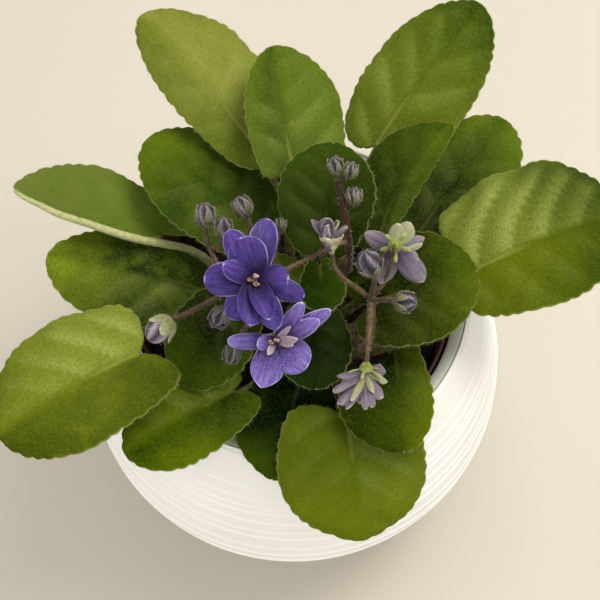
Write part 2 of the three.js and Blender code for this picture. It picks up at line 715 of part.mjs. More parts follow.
const pottedViolet = new THREE.Group();
pottedViolet.add(outerPot(), nurseryPot(), pottingSoil(), crown());
for (const [name, leaf] of Object.entries(LEAVES)) pottedViolet.add(makeLeaf(name, leaf));
for (const [name, stem] of Object.entries(PEDUNCLES)) pottedViolet.add(makePeduncle(name, stem));
for (const [name, flower] of Object.entries(FLOWERS)) {
  pottedViolet.add(makeFlowerStalk(name, flower), makeCorolla(name, flower));
}
for (const name of [1, 2]) pottedViolet.add(makeAnthers(name, FLOWERS[name]));
for (const [name, bud] of Object.entries(BUDS)) pottedViolet.add(makeBud(name, bud));

export default pottedViolet;
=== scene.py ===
import math

import bpy
import numpy as np
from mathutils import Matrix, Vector


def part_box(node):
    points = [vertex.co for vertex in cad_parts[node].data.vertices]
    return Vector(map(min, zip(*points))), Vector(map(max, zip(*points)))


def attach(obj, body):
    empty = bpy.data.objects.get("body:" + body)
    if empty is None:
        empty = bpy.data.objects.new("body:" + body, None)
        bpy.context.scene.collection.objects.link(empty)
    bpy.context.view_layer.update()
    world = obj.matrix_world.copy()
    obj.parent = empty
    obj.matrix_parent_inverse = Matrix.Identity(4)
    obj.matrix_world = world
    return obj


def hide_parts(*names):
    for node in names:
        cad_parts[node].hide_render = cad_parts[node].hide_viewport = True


bl_info = {
    "name": "Potted African Violet",
    "version": (1, 0, 0),
    "blender": (4, 5, 0),
    "location": "View3D > Sidebar > Violet",
    "description": "Leaves, flowers, buds and pots of a potted African violet",
    "category": "Object",
}

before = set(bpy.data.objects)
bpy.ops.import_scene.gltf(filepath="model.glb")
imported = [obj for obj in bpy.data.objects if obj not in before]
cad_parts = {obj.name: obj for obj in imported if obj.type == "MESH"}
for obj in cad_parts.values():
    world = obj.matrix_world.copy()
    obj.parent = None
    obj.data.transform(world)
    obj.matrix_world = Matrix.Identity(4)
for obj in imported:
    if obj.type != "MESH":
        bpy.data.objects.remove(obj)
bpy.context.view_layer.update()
MM = 0.001  # lengths below are in millimetres, and meshes are in metres


# ------------------------------------------------------------------ colours and nodes


def colour(text):
    """An sRGB hex colour as linear red, green, blue and alpha."""
    channels = [int(text[i : i + 2], 16) / 255 for i in (1, 3, 5)]
    linear = [c / 12.92 if c <= 0.04045 else ((c + 0.055) / 1.055) ** 2.4 for c in channels]
    return (*linear, 1.0)


def add_node(tree, kind, settings=None, links=None):
    """A shader node with its settings, by property name or socket, and its incoming links."""
    node = tree.nodes.new("ShaderNode" + kind)
    for key, value in (settings or {}).items():
        if isinstance(value, str) and value.startswith("#"):
            value = colour(value)
        if isinstance(key, str) and hasattr(node, key):
            setattr(node, key, value)
        else:
            node.inputs[key].default_value = value
    for key, source in (links or {}).items():
        tree.links.new(source, node.inputs[key])
    return node


def grain(tree, size, detail=2.0, rough=0.5, stretch=(1, 1, 1), on_blade=False):
    """Blotches about `size` millimetres across, in the plant's own space or flat on a blade."""
    if on_blade:
        place = add_node(tree, "UVMap", {"uv_map": "blade"}).outputs["UV"]
    else:
        place = add_node(tree, "TexCoord").outputs["Object"]
    scale = [s / (size * MM) for s in stretch]
    sized = add_node(tree, "Mapping", {"Scale": scale}, {"Vector": place})
    settings = {"Scale": 1.0, "Detail": detail, "Roughness": rough}
    return add_node(tree, "TexNoise", settings, {"Vector": sized.outputs["Vector"]}).outputs["Fac"]


def finish(name, base, coats, relief, shine):
    """A material of a base colour under coats of others, with relief. Each coat is its colour,
    the name of a mark or the settings of a grain that says where it lies, the range in which it
    comes in, and its most. The relief is its depth in millimetres and a grain's settings."""
    material = bpy.data.materials.new(name)
    material.use_nodes = True
    tree = material.node_tree
    tree.nodes.clear()
    shader = add_node(tree, "BsdfPrincipled", shine)
    add_node(tree, "OutputMaterial", None, {"Surface": shader.outputs["BSDF"]})
    below = None
    for over, where, low, high, most in coats:
        if isinstance(where, str):
            amount = add_node(tree, "Attribute", {"attribute_name": where}).outputs["Fac"]
        else:
            amount = grain(tree, **where)
        limits = {"From Min": low, "From Max": high, "To Max": most}
        reach = add_node(tree, "MapRange", limits, {"Value": amount}).outputs["Result"]
        links = {0: reach, 6: below} if below else {0: reach}
        coat = add_node(tree, "Mix", {"data_type": "RGBA", 6: base, 7: over}, links)
        below = coat.outputs[2]
    tree.links.new(below, shader.inputs["Base Color"])
    depth, lumps = relief
    raised = add_node(tree, "Bump", {"Distance": depth * MM}, {"Height": grain(tree, **lumps)})
    tree.links.new(raised.outputs["Normal"], shader.inputs["Normal"])
    return material


def leaf_upper(name, sun, deep, pale):
    """Living leaf skin under short pale hairs: soft and hardly glossy. Its colour runs from
    `deep` in painted shade to `sun` in painted light, the down over its side veins is `pale`, partly
    its own colour and partly painted sheen, and its thin margin is `pale` as a painted highlight
    where light catches its hairs; cells half a millimetre wide mottle it, and lying hairs streak it
    along the side veins."""
    lying = {"size": 0.42, "detail": 2, "stretch": (1, 0.35, 1), "on_blade": True}
    lying_deep = {"size": 0.55, "detail": 2, "stretch": (0.4, 1, 1), "on_blade": True}
    coats = [
        # Painted light and shade: from `deep` in shade to `sun` in the light.
        (sun, "light_and_shade", 0.0, 1.0, 1.0),
        (deep, {"size": 11, "detail": 3}, 0.5, 0.75, 0.35),
        (sun, {"size": 7, "detail": 3}, 0.5, 0.75, 0.35),
        # Pale down over the side veins: partly its own colour, partly painted sheen on the lit half.
        (pale, "pale", 0.0, 1.0, 0.8),
        (deep, {"size": 0.5, "detail": 3, "rough": 0.65}, 0.45, 0.68, 0.42),
        (deep, lying_deep, 0.5, 0.7, 0.3),
        (sun, lying, 0.5, 0.72, 0.36),
        ("#a5a356", "rib", 0.35, 1.0, 0.35 if name in PALE_RIBBED else 0.1),
        # Painted highlight along the margin, where light catches its hairs.
        (pale, "margin", 0.2, 1.0, 0.75),
    ]
    relief = (0.12, lying)
    shine = {"Roughness": 0.62, "Specular IOR Level": 0.03}
    return finish(f"Leaf skin, {name}", deep, coats, relief, shine)


def leaf_under(name):
    """The leaf's underside: duller and paler than the top, with a raised pale midrib."""
    coats = [
        ("#858d58", {"size": 6, "detail": 3}, 0.3, 0.7, 1.0),
        ("#9da56f", "rib", 0.0, 1.0, 0.6),
    ]
    relief = (0.15, {"size": 0.5})
    shine = {"Roughness": 0.72, "Specular IOR Level": 0.15, "Sheen Weight": 0.1}
    return finish(f"Leaf underside, {name}", "#6a743c", coats, relief, shine)


def plant_stalk(name, light, dark, roughness=0.55):
    """Juicy green or reddened stalk skin, streaked along its length and a little glossy."""
    streaks = {"size": 1.2, "detail": 3, "rough": 0.6, "stretch": (1, 1, 0.35)}
    coats = [
        (light, streaks, 0.34, 0.66, 1.0),
        (dark, {"size": 4, "detail": 2}, 0.5, 0.7, 0.6),
        (light, {"size": 0.3, "detail": 1}, 0.55, 0.75, 0.35),
    ]
    shine = {"Roughness": roughness, "Specular IOR Level": 0.3, "Sheen Weight": 0.1}
    return finish(name, dark, coats, (0.2, streaks), shine)


def plant_hair(name, tint, lit):
    """Fine clear hairs of the skin, seen as a pale fuzz against the dark."""
    coats = [(lit, {"size": 3}, 0.3, 0.8, 0.5)]
    shine = {"Roughness": 0.6, "Specular IOR Level": 0.08}
    return finish(name, tint, coats, (0.01, {"size": 1}), shine)


def petal(name, tip, throat, margin, sparkle):
    """Petal skin of tiny domed cells: velvety, nearly black in the throat, deep in colour beside
    it and along its veins, with a thin pale rim and a faint crystalline glitter. The near-black
    throat is partly its own colour and partly painted shade, the pale rim is a painted highlight
    where the edge catches the light, and the glitter is painted glints."""
    cells = {"size": 0.3, "detail": 2, "rough": 0.7}
    coats = [
        # Painted shade, partly the throat's own colour: nearly black at each petal's base and in the
        # throat's cup.
        (throat, "reach", 0.1, 0.38, 1.0),
        (tip, "reach", 0.26, 0.92, 1.0),
        (throat, {"size": 0.8, "stretch": (1, 0.12, 1), "on_blade": True}, 0.4, 0.7, 0.75),
        (throat, {"size": 3.2, "detail": 2}, 0.48, 0.7, 0.5),
        # Painted glints on the domed cells.
        (sparkle, cells, 0.5, 0.7, 0.5),
        # Painted highlight along the rim, where the edge catches the light.
        (margin, "margin", 0.25, 0.9, 0.95),
    ]
    shine = {
        "Roughness": 0.5,
        "Specular IOR Level": 0.25,
        "Subsurface Weight": 0.08,
        "Subsurface Scale": 0.001,
        "Sheen Weight": 0.15,
        "Sheen Tint": margin,
    }
    return finish(name, "#050109", coats, (0.08, cells), shine)


def sepal(name, light, dark, tip):
    """Hairy sepal, green at its base and paler to its tip and rim, streaked lengthwise."""
    coats = [
        (light, {"size": 1.1, "detail": 3, "rough": 0.6}, 0.32, 0.68, 1.0),
        (tip, "reach", 0.35, 1.0, 0.85),
        (tip, "margin", 0.2, 1.0, 0.6),
        (dark, {"size": 0.45, "detail": 3}, 0.52, 0.75, 0.6),
    ]
    shine = {"Roughness": 0.6, "Specular IOR Level": 0.2, "Sheen Weight": 0.1}
    return finish(name, dark, coats, (0.12, {"size": 0.3}), shine)


def bare_bisque():
    """White stoneware, unglazed: dull, with a fine grain of grog in the clay and whiter rings, a
    painted highlight where light catches the raised thrown rings. The band inside the lip is
    greyer with painted shade where it faces inwards, behind a crease painted dark as painted shade."""
    grog = {"size": 0.6, "detail": 3, "rough": 0.7}
    coats = [
        ("#f8f6f2", {"size": 30}, 0.3, 0.7, 1.0),
        ("#d2cdc7", grog, 0.54, 0.78, 0.3),
        ("#ffffff", {"size": 0.5, "detail": 1}, 0.62, 0.75, 0.4),
        # Painted highlight on the raised thrown rings.
        ("#ffffff", "ring", 0.25, 0.8, 1.0),
        # Painted shade on the band inside the lip, which faces inwards.
        ("#ced1c8", "lip", 0.0, 1.0, 1.0),
        # Painted shade in the crease of the lip.
        ("#5c5854", "crease", 0.2, 1.0, 0.9),
    ]
    shine = {"Roughness": 0.65, "IOR": 1.5, "Specular IOR Level": 0.3}
    return finish("Matt white stoneware, thrown", "#f0ede9", coats, (0.12, grog), shine)


def moulded_plastic():
    """Thin brown-red polypropylene, injection moulded, dull and dusty with peat."""
    coats = [
        ("#5d3024", {"size": 9, "detail": 3}, 0.3, 0.7, 1.0),
        ("#1f130e", {"size": 1.4, "detail": 4, "rough": 0.7}, 0.52, 0.7, 0.6),
    ]
    relief = (0.06, {"size": 0.8})
    return finish("Brown polypropylene, moulded", "#3d1913", coats, relief, {"Roughness": 0.5})


def moist_peat():
    """Moist peat with bark and a few paler crumbs: nearly black, soft and loose."""
    crumbs = {"size": 1.6, "detail": 4, "rough": 0.7}
    coats = [
        ("#33231a", crumbs, 0.32, 0.75, 1.0),
        ("#4a3324", {"size": 3.5}, 0.6, 0.75, 0.6),
    ]
    shine = {"Roughness": 0.9, "Specular IOR Level": 0.2}
    return finish("Moist peat, crumbled", "#0d0805", coats, (1.0, crumbs), shine)


def anther_skin():
    """Pollen sacs: cream and powdery, with brown where they have opened."""
    coats = [("#c6a999", {"size": 0.7, "detail": 3}, 0.42, 0.58, 1.0)]
    return finish("Anther, powdery", "#4f2a22", coats, (0.1, {"size": 0.2}), {"Roughness": 0.7})


# ------------------------------------------------------------------ vectors and curves


def unit(vector):
    """The vector at length 1."""
    return np.asarray(vector, float) / max(np.linalg.norm(vector), 1e-12)


def unit_rows(vectors):
    """Each vector of a table at length 1."""
    return vectors / np.maximum(np.linalg.norm(vectors, axis=-1, keepdims=True), 1e-9)


def through(rows, at):
    """Points of a smooth curve through the rows, at positions from 0 to their number less 1.
    The first and last rows only steer the curve's ends."""
    at = np.asarray(at, float)
    index = np.clip(np.floor(at).astype(int), 0, len(rows) - 4)
    part = (at - index).reshape(-1, *[1] * (rows.ndim - 1))
    before, here, there, after = (rows[index + k] for k in range(4))
    return 0.5 * (
        2 * here
        + (there - before) * part
        + (2 * before - 5 * here + 4 * there - after) * part**2
        + (3 * here - before - 3 * there + after) * part**3
    )


def with_ends(rows):
    """Rows with one more at each end, in line with the last two."""
    rows = np.asarray(rows, float)
    return np.concatenate([[2 * rows[0] - rows[1]], rows, [2 * rows[-1] - rows[-2]]])


def tube_points(line, radii, around):
    """Rings round a line, with domed ends that close in a point."""
    line = np.asarray(line, float)
    radii = np.asarray(radii, float)
    tangents = np.gradient(line, axis=0)
    tangents /= np.linalg.norm(tangents, axis=1)[:, None]
    side = unit(np.cross(tangents[0], [0.3, 0.5, 0.81]))
    angles = np.linspace(0, 2 * math.pi, around + 1)
    rings = [np.repeat(line[:1] - tangents[0] * radii[0] * 0.5, around + 1, 0)]
    for point, tangent, radius in zip(line, tangents, radii):
        side = unit(side - tangent * np.dot(side, tangent))
        other = np.cross(tangent, side)
        ring = np.outer(np.cos(angles), side) + np.outer(np.sin(angles), other)
        rings.append(point + radius * ring)
    rings.append(np.repeat(line[-1:] + tangents[-1] * radii[-1] * 0.5, around + 1, 0))
    return np.array(rings)


def fade(values, low, high):
    """0 below `low`, 1 above `high` and a smooth rise between."""
    part = np.clip((values - low) / (high - low), 0, 1)
    return part * part * (3 - 2 * part)


def run_along(line):
    """How far along a line each of its points lies, from its start."""
    steps = np.linalg.norm(np.diff(line, axis=0), axis=1)
    return np.concatenate([[0], np.cumsum(steps)])


def at_spots(spots, run, rows):
    """What the rows come to at spots between them, as far along as `run` says."""
    return np.stack([np.interp(spots, run, column) for column in rows.T], 1)


def spread(at, *parts):
    """Points from a place on, along directions, each by its own table of lengths."""
    for way, lengths in parts:
        at = at + way * lengths[..., None]
    return at


def eased(count):
    """Places from 0 to 1, closer together at both ends, in a column."""
    return ((1 - np.cos(np.linspace(0, math.pi, count))) / 2)[:, None]


# ------------------------------------------------------------------ guides from the CAD


def guide(node):
    """A CAD leaf, stem, stalk or bud as its two end points and the rings of 8 between them, in
    millimetres, from the start of its stalk to its tip."""
    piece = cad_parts[node]
    loose = corner_places(piece)
    _, first, merged = np.unique(
        np.round(loose, 3), axis=0, return_index=True, return_inverse=True
    )
    merged = merged.ravel()
    points = loose[first]
    near = [set() for _ in points]
    for polygon in piece.data.polygons:
        corners = [merged[v] for v in polygon.vertices]
        for a, b in zip(corners, corners[1:] + corners[:1]):
            near[a].add(b)
            near[b].add(a)
    ends = [i for i, others in enumerate(near) if len(others) == 8]

    def bluntness(i):
        ring = points[list(near[i])]
        middle = ring.mean(0)
        return np.linalg.norm(ring - middle, axis=1).mean() + 3 * np.linalg.norm(points[i] - middle)

    start = min(ends, key=bluntness)
    level = {start: 0}
    layers = [[start]]
    while layers[-1]:
        found = sorted({n for i in layers[-1] for n in near[i] if n not in level})
        level.update({i: len(layers) for i in found})
        layers.append(found)
    layers.pop()
    rings = []
    for layer in layers[1:-1]:
        order = [layer[0]]
        while len(order) < len(layer):
            order.append(next(i for i in near[order[-1]] if i in layer and i not in order))
        rings.append(points[order])
    for k in range(1, len(rings)):
        turns = [np.roll(rings[k][::way], shift, 0) for way in (1, -1) for shift in range(8)]
        rings[k] = min(turns, key=lambda turned: np.linalg.norm(turned - rings[k - 1]))
    return points[start], rings, points[layers[-1][0]]


def blade_guide(node):
    """A leaf's stalk line and its blade's middle sheet: rows from base to tip, and five points
    across each from the left margin to the right."""
    start, rings, tip = guide(node)
    stalk, blade = rings[:5], np.array(rings[5:])
    widest = blade[len(blade) // 2]
    edge = max(range(4), key=lambda i: np.linalg.norm(widest[i] - widest[i + 4]))
    upward = widest[[edge + 1, edge + 2, edge + 3]].mean(0) - widest[
        [(edge + k) % 8 for k in (5, 6, 7)]
    ].mean(0)
    order = [(edge + k) % 8 for k in range(8)]
    if upward[2] < 0:
        order = [(edge - k) % 8 for k in range(8)]
    blade = blade[:, order]
    forward = tip - stalk[-1].mean(0)
    right = blade[4, 4] - blade[4, 0]
    top = blade[4, 1:4].mean(0) - blade[4, 5:8].mean(0)
    if np.dot(np.cross(forward, top), right) < 0:
        blade = blade[:, [4, 3, 2, 1, 0, 7, 6, 5]]
    inner = (blade[:, 1:4] + blade[:, [7, 6, 5]]) / 2
    sheet = np.concatenate([blade[:, :1], inner, blade[:, 4:5]], axis=1)
    base = stalk[-1].mean(0)
    line = np.array([start] + [ring.mean(0) for ring in stalk])
    return line, np.concatenate([[np.repeat(base[None], 5, 0)], sheet, [np.repeat(tip[None], 5, 0)]])


def branch_guide(node):
    """A branch's line of ring centres, the rings' radii and its end point."""
    _, rings, end = guide(node)
    centres = np.array([ring.mean(0) for ring in rings])
    radii = np.array([np.linalg.norm(ring - ring.mean(0), axis=1).mean() for ring in rings])
    return centres, radii, end


# ------------------------------------------------------------------ making meshes


def corner_places(piece):
    """A piece's corners, in millimetres."""
    return np.array([v.co for v in piece.data.vertices]) / MM


def move_corners(piece, points):
    """Moves a piece's corners to points in millimetres."""
    piece.data.vertices.foreach_set("co", (points * MM).reshape(-1).astype(np.float32))


def add_marks(piece, marks):
    """Gives a piece values at its corners, by name, that say where a coat lies."""
    for mark, values in marks.items():
        layer = piece.data.attributes.new(mark, "FLOAT", "POINT")
        layer.data.foreach_set("value", np.asarray(values, np.float32).reshape(-1))


def deselect():
    if bpy.context.mode != "OBJECT":
        bpy.ops.object.mode_set(mode="OBJECT")
    bpy.ops.object.select_all(action="DESELECT")


def choose(piece):
    """Selects a piece alone."""
    deselect()
    piece.select_set(True)
    bpy.context.view_layer.objects.active = piece


def open_whole(piece):
    """Opens a piece for editing with all of it selected."""
    choose(piece)
    bpy.ops.object.mode_set(mode="EDIT")
    bpy.ops.mesh.select_all(action="SELECT")


def add_sheet(name, points, material, marks=None, uv=None):
    """A grid with its corners moved to a table of points, rows by columns, in millimetres.
    Where the points meet, they are merged. `marks` are values at each point, by name, and `uv`
    is where each point lies on the sheet laid flat."""
    rows, columns = points.shape[:2]
    deselect()
    bpy.ops.mesh.primitive_grid_add(x_subdivisions=columns - 1, y_subdivisions=rows - 1, size=1)
    sheet = bpy.context.object
    sheet.name = name
    mesh = sheet.data
    mesh.name = name
    move_corners(sheet, points)
    add_marks(sheet, marks or {})
    layer = mesh.uv_layers[0]
    layer.name = "blade"
    if uv is not None:
        corners = np.empty(len(mesh.loops), np.int32)
        mesh.loops.foreach_get("vertex_index", corners)
        spots = (uv * MM).reshape(-1, 2)[corners]
        layer.data.foreach_set("uv", spots.reshape(-1).astype(np.float32))
    mesh.materials.append(material)
    open_whole(sheet)
    bpy.ops.mesh.remove_doubles(threshold=1e-7)
    bpy.ops.object.mode_set(mode="OBJECT")
    bpy.ops.object.shade_smooth()
    return sheet


def close_outward(piece):
    """Turns the faces of a closed piece outwards."""
    open_whole(piece)
    bpy.ops.mesh.normals_make_consistent(inside=False)
    bpy.ops.object.mode_set(mode="OBJECT")
    return piece


def add_tube(name, line, radii, material, around=12):
    """A closed round tube along a line, in millimetres."""
    points = tube_points(line, radii, around)
    along = np.repeat(np.linspace(0, 1, len(points))[:, None], around + 1, 1)
    marks = {"margin": np.zeros(points.shape[:2]), "reach": along}
    return close_outward(add_sheet(name, points, material, marks))


def thicken(sheet, thickness, rim, under=0):
    """Gives an open sheet its thickness, down to `rim` of it at the margin. Its underside takes
    the material `under` places after its own."""
    group = sheet.vertex_groups.new(name="thickness")
    edge = np.empty(len(sheet.data.vertices), np.float32)
    sheet.data.attributes["margin"].data.foreach_get("value", edge)
    for index, value in enumerate(edge):
        group.add([index], float(1 - (1 - rim) * value), "REPLACE")
    choose(sheet)
    solid = sheet.modifiers.new("thickness", "SOLIDIFY")
    solid.thickness = thickness * MM
    solid.offset = 0
    solid.vertex_group = group.name
    solid.material_offset = under
    bpy.ops.object.modifier_apply(modifier=solid.name)
    sheet.vertex_groups.clear()
    return sheet


def join(pieces, name):
    """The pieces as one object, named for it."""
    deselect()
    for piece in pieces:
        piece.select_set(True)
    bpy.context.view_layer.objects.active = pieces[0]
    if len(pieces) > 1:
        bpy.ops.object.join()
    whole = bpy.context.object
    whole.name = name
    whole.data.name = name
    return whole


def finish_piece(piece, slot, *nodes):
    """Finishes a piece: it moves with the plant, and stands for its CAD nodes, which it hides."""
    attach(piece, "root")
    if nodes:
        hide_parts(*nodes)


def add_hairs(name, found, radius, material, slot):
    """Thin closed spikes, each on three corners, as one finished piece. `found` holds lots of
    hairs, each lot its roots, directions and lengths."""
    roots, ways, lengths = (np.concatenate(part) for part in zip(*found))
    ways = ways / np.linalg.norm(ways, axis=1)[:, None]
    side = np.cross(ways, [0.31, 0.52, 0.79])
    side /= np.linalg.norm(side, axis=1)[:, None]
    other = np.cross(ways, side)
    corners = []
    for k in range(3):
        angle = k * 2 * math.pi / 3
        corners.append(roots + radius * (math.cos(angle) * side + math.sin(angle) * other))
    corners.append(roots + ways * lengths[:, None])
    points = np.stack(corners, 1).reshape(-1, 3) * MM
    base = 4 * np.arange(len(roots))[:, None]
    faces = np.concatenate([base + f for f in ([0, 1, 3], [1, 2, 3], [2, 0, 3], [0, 2, 1])])
    mesh = bpy.data.meshes.new(name)
    mesh.from_pydata(points.tolist(), [], faces.tolist())
    mesh.materials.append(material)
    hairs = bpy.data.objects.new(name, mesh)
    bpy.context.scene.collection.objects.link(hairs)
    finish_piece(hairs, slot)


# ------------------------------------------------------------------ pots, soil and crown


# How far below the rim each thrown ring stands out of the wall, in millimetres
RIDGE_DEPTHS = (13.5, 18.6, 22.5, 25.4, 30.3, 36.0, 40.0, 47.8, 54.0, 60.5, 66.0, 73.5, 79.0, 86.5)


def pot_wall(heights, sizes):
    """The outer pot's outside radius at each height, in millimetres."""
    belly, rim = sizes.belly_radius / MM, sizes.rim_radius / MM
    foot, height = sizes.foot_radius / MM, sizes.height / MM
    belly_height = sizes.belly_height / MM
    upper = np.clip((heights - belly_height) / (height - belly_height), 0, 1)
    lower = np.clip((belly_height - heights) / belly_height, 0, 1)
    return belly - (belly - rim) * upper**1.9 - (belly - foot) * lower**1.8


def pot_profile(sizes):
    """Half outline of the outer pot in millimetres, from the middle of its foot up the outside,
    over the creased lip and down the inside."""
    rim, foot = sizes.rim_radius / MM, sizes.foot_radius / MM
    height, lip = sizes.height / MM, sizes.lip_width / MM
    base = [(0, 0.6), (foot - 6, 0.6), (foot - 5, 0), (foot - 1.2, 0), (foot, 0.9)]
    heights = np.linspace(3.0, height - 1.3, 420)
    radii = pot_wall(heights, sizes)
    for depth in RIDGE_DEPTHS:
        radii = radii + sizes.ridge / MM * np.exp(-(((height - depth - heights) / 0.28) ** 2))
    edge = [(0.02, 1.0), (0.12, 0.5), (0.35, 0.18), (0.6, 0.1), (0.75, 0.3), (0.9, 0.75)]
    edge += [(1.05, 0.75), (1.2, 0.35), (1.5, 0.3), (2.2, 0.5), (3.2, 0.95), (4.0, 1.6)]
    edge += [(lip + 0.35, 2.3), (lip + 0.55, 3.2)]
    inside = np.linspace(height - 5.0, 10, 40)
    inner = pot_wall(inside, sizes) - lip - 0.6
    profile = base + list(zip(radii, heights))
    profile += [(rim - across, height - down) for across, down in edge]
    return profile + list(zip(inner, inside)) + [(foot - 8, 6.2), (0, 6)]


def mark_pot(pot, sizes):
    """Marks the thrown rings for a painted highlight, the crease of the lip for painted shade and the
    band inside the lip for painted shade.
    """
    height, rim = sizes.height / MM, sizes.rim_radius / MM
    places = corner_places(pot)
    radius, z = np.hypot(places[:, 0], places[:, 1]), places[:, 2]
    outside = radius > pot_wall(z, sizes) - 0.3
    ring = sum(np.exp(-(((height - depth - z) / 0.3) ** 2)) for depth in RIDGE_DEPTHS)
    depth = rim - radius
    high = z > height - 4
    marks = {
        # Painted highlight on the raised rings of the outside.
        "ring": ring * outside,
        # Painted shade in the crease of the lip.
        "crease": high * np.exp(-(((depth - 0.97) / 0.14) ** 2)),
        # Painted shade on the inward-facing band inside the lip.
        "lip": high * (depth > 1.1),
    }
    add_marks(pot, marks)


def turn_profile(name, profile, material, steps):
    """A half outline spun round the Z axis, closed and facing out."""
    mesh = bpy.data.meshes.new(name)
    points = [(x * MM, 0, z * MM) for x, z in profile]
    mesh.from_pydata(points, [(i, i + 1) for i in range(len(points) - 1)], [])
    turned = bpy.data.objects.new(name, mesh)
    bpy.context.scene.collection.objects.link(turned)
    mesh.materials.append(material)
    open_whole(turned)
    bpy.ops.mesh.spin(steps=steps, angle=2 * math.pi, center=(0, 0, 0), axis=(0, 0, 1))
    bpy.ops.mesh.select_all(action="SELECT")
    bpy.ops.mesh.remove_doubles(threshold=1e-6)
    bpy.ops.mesh.normals_make_consistent(inside=False)
    bpy.ops.object.mode_set(mode="OBJECT")
    bpy.ops.object.shade_smooth_by_angle(angle=math.radians(50))
    return turned


class PotSizes(bpy.types.PropertyGroup):
    belly_radius: bpy.props.FloatProperty(
        name="Belly radius",
        description="Outside radius of the pot at its widest",
        default=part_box("outer_pot")[1].x,
        unit="LENGTH",
    )
    belly_height: bpy.props.FloatProperty(
        name="Belly height",
        description="Height of the widest part",
        default=0.050,
        unit="LENGTH",
    )
    height: bpy.props.FloatProperty(
        name="Height",
        description="Height of the pot",
        default=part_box("outer_pot")[1].z,
        unit="LENGTH",
    )
    rim_radius: bpy.props.FloatProperty(
        name="Rim radius",
        description="Outside radius at the rim",
        default=0.0556,
        unit="LENGTH",
    )
    foot_radius: bpy.props.FloatProperty(
        name="Foot radius",
        description="Radius of the foot",
        default=0.046,
        unit="LENGTH",
    )
    lip_width: bpy.props.FloatProperty(
        name="Lip width",
        description="Width of the rounded lip, which is the wall's thickness",
        default=0.0042,
        unit="LENGTH",
    )
    ridge: bpy.props.FloatProperty(
        name="Ridge height",
        description="How far the fine rings stand out of the wall",
        default=0.00035,
        unit="LENGTH",
    )


class MakeOuterPot(bpy.types.Operator):
    """Spin the white outer pot from its half outline"""

    bl_idname = "violet.make_outer_pot"
    bl_label = "Outer Pot"

    def execute(self, context):
        sizes = context.scene.violet_pot
        pot = turn_profile("outer_pot_stoneware", pot_profile(sizes), bare_bisque(), 160)
        mark_pot(pot, sizes)
        finish_piece(pot, "pot", "outer_pot")
        return {"FINISHED"}


class MakeNurseryPot(bpy.types.Operator):
    """Spin the thin plastic pot that stands inside the outer pot"""

    bl_idname = "violet.make_nursery_pot"
    bl_label = "Nursery Pot"

    def execute(self, context):
        low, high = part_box("nursery_pot")
        top, bottom, rim = high.z / MM, low.z / MM, high.x / MM
        foot = rim - 12.2

        def wall(height):
            return foot + (rim - foot) * (height - bottom) / (top - bottom)

        profile = [(0, bottom), (foot - 1, bottom), (foot, bottom + 1)]
        profile += [(wall(h), h) for h in np.linspace(bottom + 3, top - 5, 14)]
        profile += [(rim - 0.5, top - 4.6), (rim - 0.1, top - 4.2), (rim - 0.1, top - 0.4)]
        profile += [(rim - 0.3, top), (rim - 1.0, top), (rim - 1.2, top - 0.4)]
        profile += [(wall(h) - 1.2, h) for h in np.linspace(top - 4, bottom + 3, 14)]
        profile += [(foot - 1.5, bottom + 1.6), (0, bottom + 1.6)]
        pot = turn_profile("nursery_pot_plastic", profile, moulded_plastic(), 96)
        finish_piece(pot, "nursery_pot", "nursery_pot")
        return {"FINISHED"}


CRUMBS = 420


class MakeSoil(bpy.types.Operator):
    """Fill the nursery pot with crumbly soil"""

    bl_idname = "violet.make_soil"
    bl_label = "Potting Soil"

    def execute(self, context):
        material = moist_peat()
        low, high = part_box("potting_soil")
        top, bottom, rim = high.z / MM, low.z / MM, high.x / MM
        rng = np.random.default_rng(11)
        profile = [(0, bottom), (rim - 9.5, bottom), (rim - 9, bottom + 0.5)]
        profile += [(rim - 0.2, top - 2.4)]
        profile += [(r, top - 1.4) for r in np.linspace(rim - 0.8, 0, 60)]
        soil = turn_profile("soil_body", profile, material, 120)
        points = corner_places(soil)
        upper = points[:, 2] > top - 2
        waves = np.zeros(len(points))
        for _ in range(26):
            way = rng.normal(size=2) * rng.uniform(0.15, 1.6)
            waves += np.sin(points[:, 0] * way[0] + points[:, 1] * way[1] + rng.uniform(0, 6.3))
        points[:, 2] += np.where(upper, 0.16 * waves + rng.normal(0, 0.18, len(points)), 0)
        move_corners(soil, points)
        deselect()
        bpy.ops.mesh.primitive_ico_sphere_add(subdivisions=2, radius=MM)
        first = bpy.context.object
        first.data.materials.append(material)
        ball = corner_places(first)
        crumbs = [first]
        for _ in range(CRUMBS - 1):
            crumb = first.copy()
            crumb.data = first.data.copy()
            bpy.context.scene.collection.objects.link(crumb)
            crumbs.append(crumb)
        for crumb in crumbs:
            turn, reach = rng.uniform(0, 6.283), (rim - 2) * math.sqrt(rng.uniform(0.02, 1))
            centre = [reach * math.cos(turn), reach * math.sin(turn), top - 1.2]
            size = rng.uniform(0.4, 1.35) * rng.uniform(0.6, 1.3, 3)
            lumps = ball * (1 + rng.normal(0, 0.13, (len(ball), 1)))
            move_corners(crumb, lumps * size + centre)
        whole = join([soil, *crumbs], "potting_soil_peat")
        finish_piece(whole, "soil", "potting_soil")
        return {"FINISHED"}


